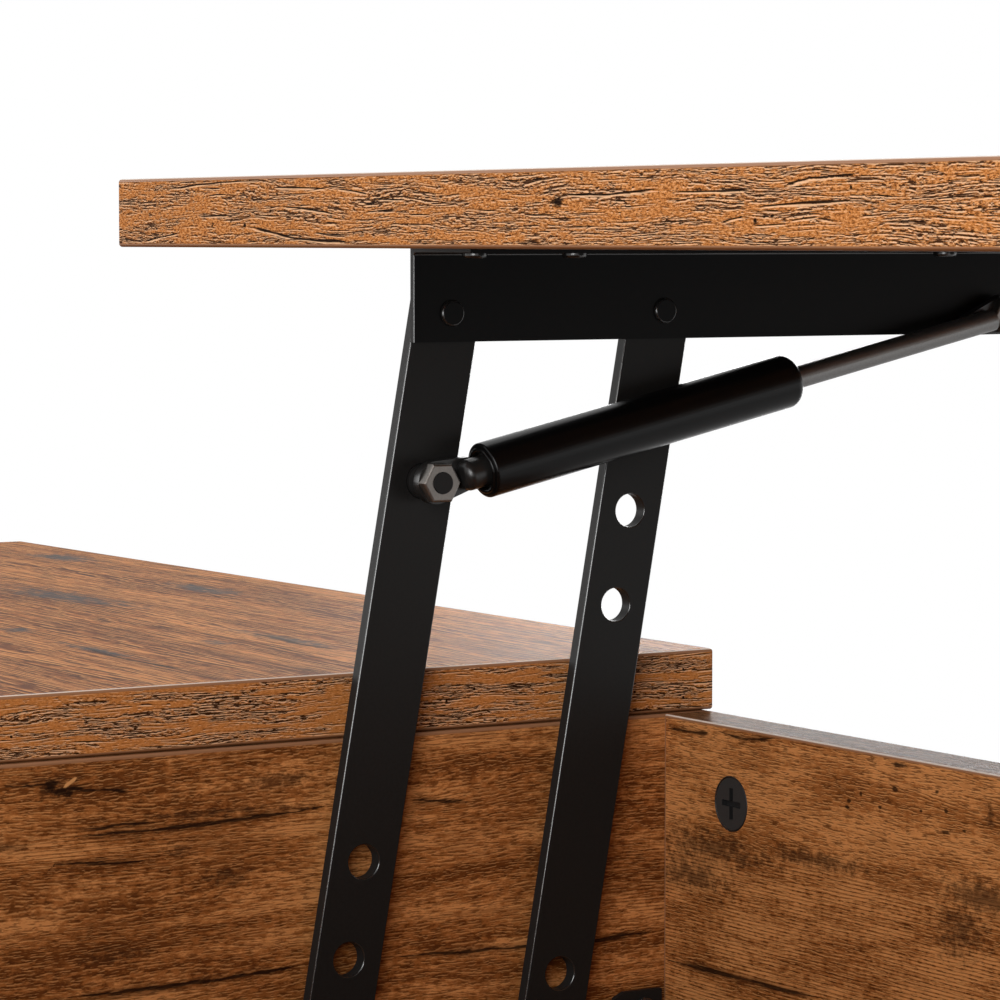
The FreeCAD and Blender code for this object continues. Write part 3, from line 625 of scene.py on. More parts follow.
def grain_space(sketch, thin, axes, looks=None):
    """Where a point lies along the grain and across it, and both as a vector that differs from face to face.

    Without looks the wide faces are meant, and otherwise the narrow edges, told apart by where they look.
    """
    orders = dict(zip("XYZ", GRAIN_AXES[thin]))

    def laid_out(look):
        return sketch.join(*[axes[axis] for axis in orders[look]])

    if looks is None:
        spot = laid_out(thin)
    else:
        first, second = [axis for axis in "XYZ" if axis != thin]
        turned = sketch.step(sketch.size(looks[first]), *EDGE_TURN)
        spot = sketch.mix_vector(turned, laid_out(second), laid_out(first))
    along, across, out = sketch.split(spot)
    return along, across, sketch.join(sketch.add(along, sketch.times(out, DEPTH_SHIFT)), across)


def drifted(sketch, grain, size, noise, reach):
    """The grain with its lines swinging to and fro by up to about half of reach."""
    swing = sketch.swing(sketch.field(grain, size, noise), reach)
    shift = sketch.join(0.0, swing)
    return sketch.node("ShaderNodeVectorMath", {0: grain, 1: shift}, operation="ADD").outputs[0]


def crack_lines(sketch, along, across, paths, width, full_length):
    """Thin lines through the points of each path, with tapered ends; those under full_length are thinner."""
    mask = None
    for path in paths:
        line = path[0][1]
        for (start, low), (end, high) in zip(path, path[1:]):
            line = sketch.add(sketch.slope(along, start, end, 0.0, high - low), line)
        first, last = path[0][0], path[-1][0]
        taper = (last - first) * LINE_TAPER
        widest = width * min(1.0, SHORT_LINE + (last - first) / full_length)
        closing = sketch.step(along, last - taper, last, widest, 0.0)
        opening = sketch.times(sketch.step(along, first, first + taper), closing)
        off = sketch.size(sketch.minus(across, line))
        crack = sketch.step(off, sketch.times(opening, LINE_CORE), opening, 1.0, 0.0)
        mask = crack if mask is None else sketch.either(mask, crack)
    return mask


def spot_marks(sketch, along, across, spots, ragged, core=SPOT_CORE):
    """Oval marks with ragged outlines, full inside their core and gone at their rim."""
    place = sketch.join(along, across)
    mask = None
    for middle, level, reach_along, reach_across in spots:
        scale = (1 / reach_along, 1 / reach_across, 0.0)
        offset = (-middle / reach_along, -level / reach_across, 0.0)
        off = sketch.reach(sketch.affine(place, scale, offset))
        mark = sketch.step(sketch.add(off, ragged), core, SPOT_RIM, 1.0, 0.0)
        mask = mark if mask is None else sketch.either(mask, mark)
    return mask


def pressed(sketch, lines, dashes, levels, lift=0.0):
    """A mask of dashes pressed in along the grain, looked up lift further across it."""
    return sketch.step(sketch.field(lines, dashes.size, dashes.noise, lift), *levels, 1.0, 0.0)


def embossed(sketch, lines, dashes, dense=None):
    """A mask of pressed dashes and one of the painted highlight rims below them, standing in for light on the
    relief.
    """
    levels = dashes.levels
    if dense is not None:
        levels = [sketch.slope(dense, 0.0, 1.0, *pair) for pair in zip(levels, dashes.dense_levels)]
    mark = pressed(sketch, lines, dashes, levels)
    above = pressed(sketch, lines, dashes, levels, dashes.drop)
    return mark, sketch.times(above, sketch.minus(1.0, mark))


def outline_band(sketch, axes, box, across_axes, width):
    """A mask along the arrises of a board, from its box in millimetres."""
    near = None
    for axis in across_axes:
        index = "XYZ".index(axis)
        for gap in (sketch.minus(axes[axis], box[0][index]), sketch.minus(box[1][index], axes[axis])):
            near = gap if near is None else sketch.nearer(near, gap)
    return sketch.step(near, *[width * fade for fade in BAND_FADE], 1.0, 0.0)


def face_print(sketch, board, along, across, grain, finish):
    """Colour and height of a wide face: clouds, pressed fibres, saw lines, stains, cracks and worm holes,
    with painted highlight rims under the fibres and painted shade round the placed cracks.
    """
    look = FACE_PRINTS.get(board, CASE_PRINT)
    swing = (look.cloud[0] * look.swing_along, look.cloud[1] * look.swing_across)
    lines = drifted(sketch, grain, swing, FACE_SWING, look.drift)
    cloud = sketch.field(lines, look.cloud, CLOUD)
    streak = sketch.field(lines, look.streak, STREAK)
    crumb = sketch.field(lines, look.crumb, CRUMB)
    level = 0.0
    for part, portion in zip((cloud, streak, crumb), look.level_shares):
        level = sketch.add(sketch.times(part, portion), level)
    low, high = look.middle - look.ramp, look.middle + look.ramp
    tone = sketch.mix(sketch.step(level, low, look.middle), opaque(finish.face_dark), opaque(finish.face_mid))
    tone = sketch.mix(sketch.step(level, look.middle, high), tone, opaque(finish.face_light))
    blotch = sketch.field(lines, look.blotch, BLOTCH)
    clouded = sketch.step(blotch, *look.blotch_levels, 0.0, look.clouded_share)
    tone = sketch.mix(clouded, tone, opaque(finish.face_dark))
    saw, unsawn = saw_lines(sketch, board, across, grain, crumb)
    tone = sketch.stain(saw, SAW.tone_share, tone, finish.face_groove)
    fibres = Dashes(look.fibre, FIBRE, look.fibre_levels, look.fibre[1] * look.rim_highlight_drop)
    # rim is a painted highlight below each pressed fibre, standing in for light on its relief.
    groove, rim = embossed(sketch, lines, fibres)
    groove = sketch.times(groove, unsawn)
    tone = sketch.stain(groove, look.groove_share, tone, finish.face_groove)
    tone = sketch.stain(rim, look.glint_share, tone, finish.face_glint)
    if board in FACE_STAINS:
        ragged = sketch.add(sketch.swing(blotch, look.stain_blotches), sketch.swing(crumb, look.stain_crumbs))
        smoke = spot_marks(sketch, along, across, FACE_STAINS[board], ragged, look.stain_core)
        smoke_tone = finish.weathered if board in TOPS else finish.stain
        tone = sketch.stain(smoke, look.stain_share, tone, smoke_tone)
    if board in FACE_SPLINTERS:
        paths = FACE_SPLINTERS[board]
        splinter = crack_lines(sketch, along, across, paths, look.splinter_width, look.splinter_length)
        tone = sketch.stain(splinter, look.splinter_share, tone, finish.face_glint)
    if board in FACE_CRACKS:
        paths = FACE_CRACKS[board]
        wobble = sketch.add(across, sketch.swing(streak, look.crack_wobble))
        # Painted shade in the stain tone, soft on either side of each placed crack.
        crack_shade = crack_lines(sketch, along, wobble, paths, look.crack_shade_width, look.crack_length)
        tone = sketch.stain(crack_shade, look.crack_shade_share, tone, finish.stain)
        crack = crack_lines(sketch, along, wobble, paths, look.crack_width, look.crack_length)
    else:
        crack = pressed(sketch, lines, FACE_SPLITS, FACE_SPLITS.levels)
    if board in FACE_SPECKS:
        ragged = sketch.minus(crumb, MEAN_LEVEL)
        crack = sketch.either(crack, spot_marks(sketch, along, across, FACE_SPECKS[board], ragged))
    elif board not in FACE_CRACKS:
        holes = sketch.specks(grain, look.speck_cell, look.speck_size, look.speck_chance)
        crack = sketch.either(crack, holes)
    tone = sketch.stain(crack, look.crack_share, tone, finish.crack)
    height = sketch.minus(0.0, sketch.add(groove, sketch.times(saw, SAW.depth_share)))
    return tone, height


def saw_lines(sketch, board, across, grain, crumb):
    """Straight saw marks, low on some boards and in patches on the others, and how far fibres show there."""
    bend = sketch.times(sketch.field(grain, SAW.bend, SAW_BEND), SAW.bend_reach)
    wave = sketch.math("SINE", sketch.times(sketch.add(across, bend), math.tau / SAW.pitch))
    if board in SAWN_BELOW:
        sawn = sketch.step(across, *SAWN_BELOW[board], 1.0, SAW.faded_share)
    else:
        sawn = sketch.step(sketch.field(grain, SAW.patch, SAW_PATCH), *SAW.patch_levels, 0.0, SAW.patch_share)
    worn = sketch.step(crumb, *SAW.crumb_levels, 1.0, SAW.crumb_share)
    marks = sketch.times(sketch.step(wave, *SAW.wave_levels), worn)
    return sketch.times(marks, sawn), sketch.minus(1.0, sketch.times(sawn, SAW.fibres_lost))


def edge_print(sketch, board, along, across, grain, finish):
    """Colour and height of a narrow edge: speckled ground, clusters of dashes, long cracks and pores,
    with painted highlight rims under the dashes and painted highlight lines under the placed cracks.
    """
    lines = drifted(sketch, grain, EDGE.swing, EDGE_SWING, EDGE.drift)
    cluster = sketch.field(lines, EDGE.cluster, CLUSTER)
    fine = sketch.field(lines, EDGE.speckle, SPECKLE)
    if board in EDGE_PATCHES:
        ragged = sketch.swing(fine, EDGE.patch_ragged)
        patch = spot_marks(sketch, along, across, EDGE_PATCHES[board], ragged, EDGE.patch_core)
        cluster = sketch.add(cluster, sketch.times(patch, EDGE.patch_rise))
    dense = sketch.step(cluster, *DASHED_LEVELS.get(board, PLAIN_LEVELS))
    warm = sketch.step(cluster, *EDGE.warm_levels, 0.0, EDGE.warm_share)
    tone = sketch.mix(warm, opaque(finish.edge_mid), opaque(finish.edge_warm))
    speckled = EDGE.dashed_speckled if board in DASHED_LEVELS else EDGE.plain_speckled
    speckled = sketch.slope(dense, 0.0, 1.0, speckled, 1.0)
    brown = sketch.step(fine, *EDGE.brown_levels, EDGE.brown_share, 0.0)
    tone = sketch.stain(brown, speckled, tone, finish.edge_brown)
    light = sketch.step(fine, *EDGE.light_levels, 0.0, EDGE.light_share)
    tone = sketch.stain(light, speckled, tone, finish.edge_light)
    # Each mask of dashes comes with a painted highlight rim below it.
    short, short_highlight = embossed(sketch, lines, SHORT_DASHES, dense)
    long, long_highlight = embossed(sketch, lines, LONG_DASHES, dense)
    split, split_highlight = embossed(sketch, lines, EDGE_SPLITS)
    dash = sketch.either(short, long)
    rim = sketch.either(short_highlight, sketch.either(long_highlight, split_highlight))
    tone = sketch.stain(rim, EDGE.rim_highlight_share, tone, finish.edge_glint)
    tone = sketch.stain(dash, EDGE.dash_share, tone, finish.edge_dark)
    crack = split
    if board in EDGE_CRACKS:
        paths = EDGE_CRACKS[board]
        wobble = sketch.add(across, sketch.swing(cluster, EDGE.crack_wobble))
        # Painted highlight: a pale line just below each placed crack.
        below = sketch.add(wobble, EDGE.glint_drop)
        glint = crack_lines(sketch, along, below, paths, EDGE.glint_width, EDGE.crack_length)
        tone = sketch.stain(glint, EDGE.glint_share, tone, finish.edge_glint)
        line = crack_lines(sketch, along, wobble, paths, EDGE.crack_width, EDGE.crack_length)
        crack = sketch.either(crack, line)
    if board in EDGE_SPECKS:
        ragged = sketch.swing(fine, EDGE.pore_ragged)
        crack = sketch.either(crack, spot_marks(sketch, along, across, EDGE_SPECKS[board], ragged))
    crack = sketch.either(crack, sketch.specks(grain, EDGE.pore_cell, EDGE.pore_size, EDGE.pore_chance))
    tone = sketch.stain(crack, EDGE.crack_share, tone, finish.crack)
    return tone, sketch.minus(0.0, sketch.either(dash, split))


def finish_board(sketch, shader, tone, height, band, relief, finish):
    """Joins a print to its plain arris band and to the shader."""
    print_height = sketch.times(height, sketch.minus(1.0, band))
    bump = sketch.node("ShaderNodeBump", {"Height": print_height, "Distance": relief})
    sketch.tree.links.new(sketch.mix(band, tone, opaque(finish.band)), shader.inputs["Base Color"])
    sketch.tree.links.new(bump.outputs[0], shader.inputs["Normal"])


def board_band(sketch, board, axes, across_axes, finish):
    box = [[part * MILLIMETRES for part in corner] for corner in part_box(board)]
    return outline_band(sketch, axes, box, across_axes, finish.band_width * MILLIMETRES)


def face_material(board, thin, finish, print_name):
    """The wide faces of a board, with the print that goes by that name."""
    roughness = finish.top_roughness if board in TOPS else finish.face_roughness
    made, sketch, shader = new_material(print_name + "_face", Specular_IOR_Level=finish.face_gloss,
                                        Roughness=roughness)
    axes = read_axes(sketch)
    along, across, grain = grain_space(sketch, thin, axes)
    tone, height = face_print(sketch, print_name, along, across, grain, finish)
    band = board_band(sketch, board, axes, [axis for axis in "XYZ" if axis != thin], finish)
    finish_board(sketch, shader, tone, height, band, finish.face_relief, finish)
    return made


def edge_material(board, thin, finish):
    """The narrow edges of a board, with worn fibres on those that look up."""
    gloss = finish.edge_gloss if board in TOPS else finish.sill_gloss
    made, sketch, shader = new_material(board + "_edge", Specular_IOR_Level=gloss)
    axes, looks = read_axes(sketch), read_looks(sketch)
    along, across, grain = grain_space(sketch, thin, axes, looks)
    tone, height = edge_print(sketch, board, along, across, grain, finish)
    band = board_band(sketch, board, axes, thin, finish)
    sill = sketch.step(looks["Z"], *SILL_LEAN)
    fibres = sketch.step(sketch.field(grain, EDGE.sill_fibre, SILL_FIBRE), *EDGE.sill_levels)
    worn = sketch.mix(fibres, opaque(finish.sill_dark), opaque(finish.sill))
    tone = sketch.mix(sketch.times(sill, EDGE.sill_share), tone, worn)
    dashes = sketch.times(height, sketch.step(sill, 0.0, 1.0, 1.0, EDGE.sill_dashes))
    height = sketch.add(dashes, sketch.times(fibres, sill))
    roughness = sketch.step(sill, 0.0, 1.0, finish.edge_roughness, finish.sill_roughness)
    sketch.tree.links.new(roughness, shader.inputs["Roughness"])
    finish_board(sketch, shader, tone, height, band, finish.edge_relief, finish)
    return made


def arris_material(board, finish):
    """The smooth strip of a rounded arris, glossier than the prints.

    It carries painted shade where it looks down, and a painted pale highlight where it looks up on boards
    that lie open.
    """
    made, sketch, shader = new_material(board + "_arris", Specular_IOR_Level=finish.arris_gloss,
                                        Roughness=finish.arris_roughness)
    looks = read_looks(sketch)
    # Painted shade where the arris looks down.
    tone = sketch.mix(sketch.step(looks["Z"], *SHADED_LEAN), opaque(finish.band_shade), opaque(finish.band))
    # Painted pale highlight where the arris looks up, on the boards listed.
    if board in HIGHLIGHT_LEAN:
        worn = sketch.step(looks["Z"], *HIGHLIGHT_LEAN[board], 0.0, HIGHLIGHT_SHARE)
        tone = sketch.mix(worn, tone, opaque(finish.band_highlight))
    sketch.tree.links.new(tone, shader.inputs["Base Color"])
    return made


def dress_board(board, thin, finish):
    """Wide faces take the face print, narrow edges the edge print and rounded arrises the plain strip with
    its painted shade and highlight.
    """
    mesh = dress(board, face_material(board, thin, finish, board), edge_material(board, thin, finish),
                 arris_material(board, finish))
    inner_side = INNER_SIDES.get(board, 0)
    if inner_side:
        mesh.materials.append(face_material(board, thin, finish, board + "_outside"))
    index = "XYZ".index(thin)
    for polygon in mesh.polygons:
        lean = polygon.normal[index]
        if abs(lean) > WIDE_FACE_LEAN:
            polygon.material_index = OUTSIDE_SLOT if lean * inner_side < 0 else FACE_SLOT
        else:
            polygon.material_index = EDGE_SLOT if abs(lean) < NARROW_EDGE_LEAN else ARRIS_SLOT


class TABLE_OT_tops(bpy.types.Operator):
    """Print and edge band of the lifting and the fixed top"""

    bl_idname = "table.tops"
    bl_label = "Tops"

    def execute(self, context):
        finish = context.scene.table_boards
        for board, thin in TOPS.items():
            dress_board(board, thin, finish)
        return {"FINISHED"}


class TABLE_OT_case_boards(bpy.types.Operator):
    """Print and edge band of the uprights, panels and shelves"""

    bl_idname = "table.case_boards"
    bl_label = "Case boards"

    def execute(self, context):
        finish = context.scene.table_boards
        for board, thin in CASE_BOARDS.items():
            dress_board(board, thin, finish)
        return {"FINISHED"}


# Steel


class Grain(NamedTuple):
    """A fine uneven surface: size in millimetres, depth in metres and spread as a share of the tone."""

    size: float
    depth: float
    spread: float


COAT_GRAIN = Grain(0.9, 0.00001, 0.25)
RUBBED_GRAIN = Grain(0.9, 0.000004, 0.25)
TUBE_GRAIN = Grain(2.5, 0.000004, 0.2)
GRAIN_LAYERS = 3.0
# Levels of the coat's grain between which it turns from shinier to duller, and by how much to each side.
COAT_LEVELS = (0.3, 0.7)
COAT_SPREAD = 0.06

# How dull each plain finish is, the size of its grain and the strength of its reflection.
PLAIN_DEPTH, PLAIN_SPREAD = 0.00001, 0.2
PLAIN_FINISHES = {
    "deep_black": (0.4, 0.8, 0.1), "cut_sides": (0.42, 0.8, 0.06), "black_nylon": (0.5, 0.6, 0.5),
    "seal_plastic": (0.5, 0.8, 0.5), "dark_fitting": (0.3, 0.7, 0.5), "dark_cast_cam": (0.42, 0.35, 0.5),
    # The cam slots' and rims' finishes carry painted shade, in the slots and in the gap round each cam.
    "cam_slot": (0.6, 0.5, 0.5), "dark_rim": (0.5, 0.5, 0.5), "beech_dowel": (0.6, 1.5, 0.5),
    "glide_plastic": (0.55, 0.8, 0.5),
}
# How dull each bare metal is and the size of its grain.
BARE_DEPTH, BARE_SPREAD = 0.000006, 0.18
BARE_FINISHES = {"ground_rod": (0.45, 0.5), "bare_nut": (0.4, 0.7), "zinc_bolt": (0.35, 0.6)}

# Material slots of a plate, and the lean of a normal to X above which it is flat, and up to which a cut side.
FLAT_SLOT, RIM_SLOT, CUT_SLOT = range(3)
FLAT_LEAN = 0.97
CUT_LEAN = 0.1


def grainy(sketch, shader, tone, grain):
    """Small changes of tone and a shallow relief; gives the noise they come from."""
    sockets = {"Vector": sketch.object_place(), "Scale": MILLIMETRES / grain.size, "Detail": GRAIN_LAYERS}
    fine = sketch.node("ShaderNodeTexNoise", sockets).outputs[0]
    low, high = [opaque([part * change for part in tone]) for change in (1 - grain.spread, 1 + grain.spread)]
    sketch.tree.links.new(sketch.mix(fine, low, high), shader.inputs["Base Color"])
    bump = sketch.node("ShaderNodeBump", {"Height": fine, "Distance": grain.depth})
    sketch.tree.links.new(bump.outputs[0], shader.inputs["Normal"])
    return fine


def satin_black(finish):
    made, sketch, shader = new_material("satin_black", Specular_IOR_Level=finish.paint_gloss)
    fine = grainy(sketch, shader, finish.paint, COAT_GRAIN)
    low, high = finish.paint_roughness - COAT_SPREAD, finish.paint_roughness + COAT_SPREAD
    sketch.tree.links.new(sketch.step(fine, *COAT_LEVELS, low, high), shader.inputs["Roughness"])
    return made


def rubbed_black(finish):
    made, sketch, shader = new_material("rubbed_black", Specular_IOR_Level=finish.rubbed_gloss,
                                        Roughness=finish.rubbed_roughness)
    grainy(sketch, shader, finish.paint, RUBBED_GRAIN)
    return made


def gloss_black(finish):
    made, sketch, shader = new_material("gloss_black_tube", Specular_IOR_Level=finish.tube_gloss,
                                        Roughness=finish.tube_roughness)
    grainy(sketch, shader, finish.tube, TUBE_GRAIN)
    return made


def bare_steel(name, tone):
    roughness, size = BARE_FINISHES[name]
    made, sketch, shader = new_material(name, Metallic=1.0, Roughness=roughness)
    grainy(sketch, shader, tone, Grain(size, BARE_DEPTH, BARE_SPREAD))
    return made


def plain(name, tone):
    roughness, size, gloss = PLAIN_FINISHES[name]
    made, sketch, shader = new_material(name, Roughness=roughness, Specular_IOR_Level=gloss)
    grainy(sketch, shader, tone, Grain(size, PLAIN_DEPTH, PLAIN_SPREAD))
    return made


def dress_steel(name, coat, rubbed, cut):
    """Flat faces take the coat, rounded rims the coat rubbed to a shine, and cut sides a duller one."""
    for polygon in dress(name, coat, rubbed, cut).polygons:
        lean = abs(polygon.normal.x)
        polygon.material_index = FLAT_SLOT if lean > FLAT_LEAN else RIM_SLOT if lean > CUT_LEAN else CUT_SLOT


class TABLE_OT_lift_steel(bpy.types.Operator):
    """Satin black coat of the arms, brackets, rivets and bracket screws"""

    bl_idname = "table.lift_steel"
    bl_label = "Lift steel"

    def execute(self, context):
        finish = context.scene.table_steel
        coat, rubbed = satin_black(finish), rubbed_black(finish)
        # The upper brackets and their rivets take the darker copy of the coat, painted shade under the top.
        shaded_coat, cut = plain("deep_black", finish.bracket), plain("cut_sides", finish.cut)
        coats = {"lower_bracket_screws": coat, "upper_bracket_screws": coat, "lower_rivets": coat,
                 "upper_rivets": shaded_coat}
        kinds = {"upper_bracket": shaded_coat, "lower_bracket": coat, "rear_arm": coat, "front_arm": coat,
                 "arm_stud": coat, "rod_stud": coat}
        for kind, kind_coat in kinds.items():
            coats.update({kind + "_" + side: kind_coat for side in SIDES})
        for name, flat in coats.items():
            dress_steel(name, flat, rubbed, cut)
        washer = plain("black_nylon", finish.washer)
        for name in ("lower_washers", "upper_washers"):
            dress(name, washer)
        return {"FINISHED"}


class TABLE_OT_gas_springs(bpy.types.Operator):
    """Glossy tubes, ground rods, eye fittings and nuts of the gas springs"""

    bl_idname = "table.gas_springs"
    bl_label = "Gas springs"

    def execute(self, context):
        finish = context.scene.table_steel
        tube = gloss_black(finish)
        rod, nut = bare_steel("ground_rod", finish.rod), bare_steel("bare_nut", finish.nut)
        seal, fitting = plain("seal_plastic", finish.seal), plain("dark_fitting", finish.fitting)
        kinds = {"gas_cylinder": tube, "gas_rod": rod, "arm_stud_nut": nut, "rod_stud_nut": nut,
                 "cylinder_end": fitting, "rod_end": fitting, "rod_gland": seal, "piston": seal}
        for kind, material in kinds.items():
            for side in SIDES:
                dress(kind + "_" + side, material)
        return {"FINISHED"}


# Fasteners and glides


# Points of a cam lock's solid nearer than this are one, and faces this near its end belong to the end.
SAME_POINT = 1e-6
CAM_FACE_DEPTH = 0.0002
CAM_FACE_LEAN = 0.9
# A cam lock's closed end has most of its points within this share of its depth, and the other end is slotted.
CAM_END_SHARE = 0.45
# Slots of a cam lock's material: its open end, and painted shade on its slots and other inner faces.
MOUTH_SLOT, SHADED_INSIDE_SLOT = range(2)
RING_STEPS, WIRE_STEPS = 40, 8


def cam_mouths():
    """Middle and outward direction of each cam lock's slotted end, read from its solid."""
    shape = bmesh.new()
    shape.from_mesh(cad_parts["cam_locks"].data)
    bmesh.ops.remove_doubles(shape, verts=shape.verts, dist=SAME_POINT)
    waiting, mouths = set(shape.verts), []
    while waiting:
        island, edge_of_island = set(), [waiting.pop()]
        while edge_of_island:
            vert = edge_of_island.pop()
            island.add(vert)
            fresh = {edge.other_vert(vert) for edge in vert.link_edges} & waiting
            waiting -= fresh
            edge_of_island += fresh
        mouths.append(cam_mouth([vert.co.copy() for vert in island]))
    shape.free()
    return sorted(mouths, key=lambda mouth: tuple(mouth[0]))


def cam_mouth(points):
    """Middle and outward direction of one cam lock's slotted end, from the points of its solid."""
    lows = [min(point[axis] for point in points) for axis in range(3)]
    highs = [max(point[axis] for point in points) for axis in range(3)]
    axis = min(range(3), key=lambda index: highs[index] - lows[index])
    span = highs[axis] - lows[axis]
    upper = sum(point[axis] > highs[axis] - span * CAM_END_SHARE for point in points)
    sign = -1 if upper * 2 > len(points) else 1
    middle = Vector([(low + high) / 2 for low, high in zip(lows, highs)])
    middle[axis] = highs[axis] if sign > 0 else lows[axis]
    facing = Vector((0.0, 0.0, 0.0))
    facing[axis] = sign
    return middle, facing


def ring_tree(material):
    """Geometry nodes: a thin ring on every point, turned to the point's facing."""
    tree = bpy.data.node_groups.new("cam_rims", "GeometryNodeTree")
    tree.interface.new_socket("Geometry", in_out="INPUT", socket_type="NodeSocketGeometry")
    for name in ("Ring radius", "Ring thickness"):
        tree.interface.new_socket(name, in_out="INPUT", socket_type="NodeSocketFloat")
    tree.interface.new_socket("Geometry", in_out="OUTPUT", socket_type="NodeSocketGeometry")
    sketch = Sketch(tree)
    given = sketch.node("NodeGroupInput", {}).outputs

    def circle(steps, radius):
        sockets = {"Resolution": steps, "Radius": radius}
        return sketch.node("GeometryNodeCurvePrimitiveCircle", sockets).outputs[0]

    path = circle(RING_STEPS, given["Ring radius"])
    wire = circle(WIRE_STEPS, given["Ring thickness"])
    ring = sketch.node("GeometryNodeCurveToMesh", {"Curve": path, "Profile Curve": wire}).outputs[0]
    stored = {"Name": "facing"}
    facing = sketch.node("GeometryNodeInputNamedAttribute", stored, data_type="FLOAT_VECTOR").outputs[0]
    turn = sketch.node("FunctionNodeAlignRotationToVector", {"Vector": facing}, axis="Z").outputs[0]
    sockets = {"Points": given["Geometry"], "Instance": ring, "Rotation": turn}
    rings = sketch.node("GeometryNodeInstanceOnPoints", sockets).outputs[0]
    real = sketch.node("GeometryNodeRealizeInstances", {"Geometry": rings}).outputs[0]
    dressed = sketch.node("GeometryNodeSetMaterial", {"Geometry": real, "Material": material}).outputs[0]
    sketch.node("NodeGroupOutput", {0: dressed})
    return tree


def dress_cams(mouths, finish):
    """Dark cast end faces; slots and other inner faces take the near-black painted shade."""
    mesh = dress("cam_locks", plain("dark_cast_cam", finish.cam), plain("cam_slot", finish.rim))
    for polygon in mesh.polygons:
        middle, facing = min(mouths, key=lambda mouth: (mouth[0] - polygon.center).length_squared)
        at_mouth = abs((polygon.center - middle).dot(facing)) < CAM_FACE_DEPTH
        looks_out = polygon.normal.dot(facing) > CAM_FACE_LEAN
        polygon.material_index = MOUTH_SLOT if at_mouth and looks_out else SHADED_INSIDE_SLOT


def add_cam_shadow_rims(mouths, finish):
    """A thin near-black ring round the mouth of every cam lock: a painted shadow in the gap round it."""
    points = bpy.data.meshes.new("cam_mouths")
    points.from_pydata([middle for middle, _ in mouths], [], [])
    facings = points.attributes.new("facing", "FLOAT_VECTOR", "POINT")
    for item, (_, facing) in zip(facings.data, mouths):
        item.vector = facing
    holder = bpy.data.objects.new("cam_rims", points)
    bpy.context.scene.collection.objects.link(holder)
    tree = ring_tree(plain("dark_rim", finish.rim))
    rings = holder.modifiers.new("rings", "NODES")
    rings.node_group = tree
    values = {"Ring radius": finish.rim_radius, "Ring thickness": finish.rim_thickness}
    for item in tree.interface.items_tree:
        if item.name in values:
            rings[item.identifier] = values[item.name]
    graph = bpy.context.evaluated_depsgraph_get()
    mesh = bpy.data.meshes.new_from_object(holder.evaluated_get(graph), depsgraph=graph)
    holder.modifiers.clear()
    holder.data = mesh
    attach(holder, "case")


class TABLE_OT_fasteners(bpy.types.Operator):
    """Cam locks with their painted shadow rims, their bolts, dowels and the glides under the uprights"""

    bl_idname = "table.fasteners"
    bl_label = "Fasteners"

    def execute(self, context):
        finish = context.scene.table_steel
        mouths = cam_mouths()
        dress_cams(mouths, finish)
        add_cam_shadow_rims(mouths, finish)
        dress("cam_bolts", bare_steel("zinc_bolt", finish.bolt))
        dress("wood_dowels", plain("beech_dowel", finish.dowel))
        dress("glides", plain("glide_plastic", finish.glide))
        return {"FINISHED"}


# Stage


# The floor lies this far under the glides, and fades to white between these shares of its reach.
FLOOR_GAP = 0.0003
FLOOR_FADE = (0.45, 0.95)
FLOOR_STEPS = 128
# Place and size of each lamp, in metres.
LAMPS = {
    "key": ((-1.45, 1.6, 0.95), 1.5), "side": ((2.0, 1.3, 0.8), 1.0), "rim": ((1.9, -1.7, 0.7), 1.0),
    "overhead": ((0.2, -0.1, 2.4), 1.8),
}
SENSOR_WIDTH = 36.0
CLIP_START = 0.05


def pale_floor(settings):
    made, sketch, shader = new_material("pale_floor", Roughness=settings.floor_roughness,
                                        Base_Color=opaque(settings.floor_tone))
    off = sketch.reach(sketch.object_place())
    edges = [settings.floor_radius * fade for fade in FLOOR_FADE]
    fade = sketch.times(sketch.step(off, *edges), sketch.backdrop_rays())
    white = sketch.node("ShaderNodeEmission", {"Color": WHITE, "Strength": 1.0}).outputs[0]
    both = sketch.node("ShaderNodeMixShader", {0: fade, 1: shader.outputs[0], 2: white}).outputs[0]
    sketch.tree.links.new(both, sketch.tree.nodes["Material Output"].inputs[0])
    return made


def add_floor(settings):
    mesh = bpy.data.meshes.new("floor")
    shape = bmesh.new()
    bmesh.ops.create_circle(shape, cap_ends=True, segments=FLOOR_STEPS, radius=settings.floor_radius)
    bmesh.ops.translate(shape, verts=shape.verts, vec=(0, 0, -FLOOR_GAP))
    shape.to_mesh(mesh)
    shape.free()
    mesh.materials.append(pale_floor(settings))
    floor = bpy.data.objects.new("floor", mesh)
    bpy.context.scene.collection.objects.link(floor)


def add_world(settings):
    world = bpy.data.worlds.new("studio")
    bpy.context.scene.world = world
    world.use_nodes = True
    sketch = Sketch(world.node_tree)
    background = world.node_tree.nodes["Background"]
    background.inputs["Color"].default_value = WHITE
    strength = sketch.step(sketch.backdrop_rays(), 0.0, 1.0, settings.ambient, 1.0)
    world.node_tree.links.new(strength, background.inputs["Strength"])


def add_lamp(name, place, target, size, watts):
    lamp = bpy.data.lights.new(name, "AREA")
    lamp.shape = "DISK"
    lamp.size = size
    lamp.energy = watts
    holder = bpy.data.objects.new(name, lamp)
    holder.location = place
    holder.rotation_mode = "QUATERNION"
    holder.rotation_quaternion = (Vector(target) - Vector(place)).to_track_quat("-Z", "Y")
    holder.visible_camera = False
    bpy.context.scene.collection.objects.link(holder)


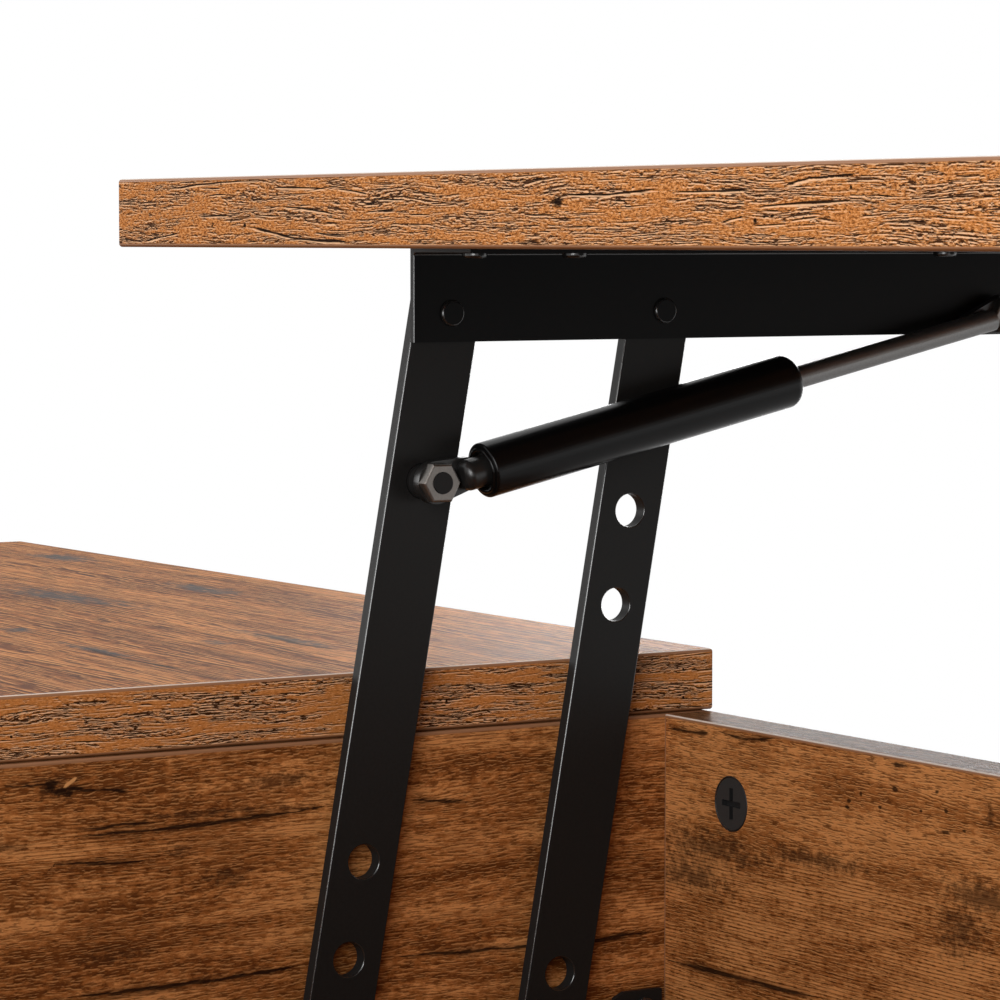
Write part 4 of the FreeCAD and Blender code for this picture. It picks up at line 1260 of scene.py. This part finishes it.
def add_camera(settings):
    data = bpy.data.cameras.new("camera")
    data.lens = settings.lens
    data.sensor_width = SENSOR_WIDTH
    data.clip_start = CLIP_START
    camera = bpy.data.objects.new("camera", data)
    camera.location = settings.eye
    camera.rotation_mode = "QUATERNION"
    camera.rotation_quaternion = Vector(settings.gaze).to_track_quat("-Z", "Y")
    bpy.context.scene.collection.objects.link(camera)
    bpy.context.scene.camera = camera


class TABLE_OT_stage(bpy.types.Operator):
    """Pale floor, soft lamps, white backdrop and camera"""

    bl_idname = "table.stage"
    bl_label = "Stage"

    def execute(self, context):
        settings = context.scene.table_stage
        context.scene.view_settings.view_transform = "Standard"
        add_floor(settings)
        add_world(settings)
        middle = (cad_box[0] + cad_box[1]) / 2
        for name, (place, size) in LAMPS.items():
            add_lamp(name, place, middle, size, getattr(settings, name + "_power"))
        add_camera(settings)
        return {"FINISHED"}


class TABLE_PT_looks(bpy.types.Panel):
    """Lists the finishes and the steps that apply them"""

    bl_idname = "TABLE_PT_looks"
    bl_label = "Lift-top table"
    bl_space_type = "VIEW_3D"
    bl_region_type = "UI"
    bl_category = "Table"

    def draw(self, context):
        for group in GROUPS:
            settings = getattr(context.scene, group)
            column = self.layout.column()
            for name in settings.bl_rna.properties.keys():
                if name not in ("rna_type", "name"):
                    column.prop(settings, name)
        for step in STEPS:
            self.layout.operator(step.bl_idname)


GROUPS = {"table_boards": BoardFinish, "table_steel": SteelFinish, "table_stage": StageSettings}
STEPS = (TABLE_OT_tops, TABLE_OT_case_boards, TABLE_OT_lift_steel, TABLE_OT_gas_springs, TABLE_OT_fasteners,
         TABLE_OT_stage)


def register():
    for made in (*GROUPS.values(), *STEPS, TABLE_PT_looks):
        bpy.utils.register_class(made)
    for name, group in GROUPS.items():
        setattr(bpy.types.Scene, name, PointerProperty(type=group))


def unregister():
    for name in GROUPS:
        delattr(bpy.types.Scene, name)
    for made in reversed((*GROUPS.values(), *STEPS, TABLE_PT_looks)):
        bpy.utils.unregister_class(made)


def main():
    register()
    bpy.ops.table.tops()
    bpy.ops.table.case_boards()
    bpy.ops.table.lift_steel()
    bpy.ops.table.gas_springs()
    bpy.ops.table.fasteners()
    bpy.ops.table.stage()


if __name__ == "__main__":
    main()
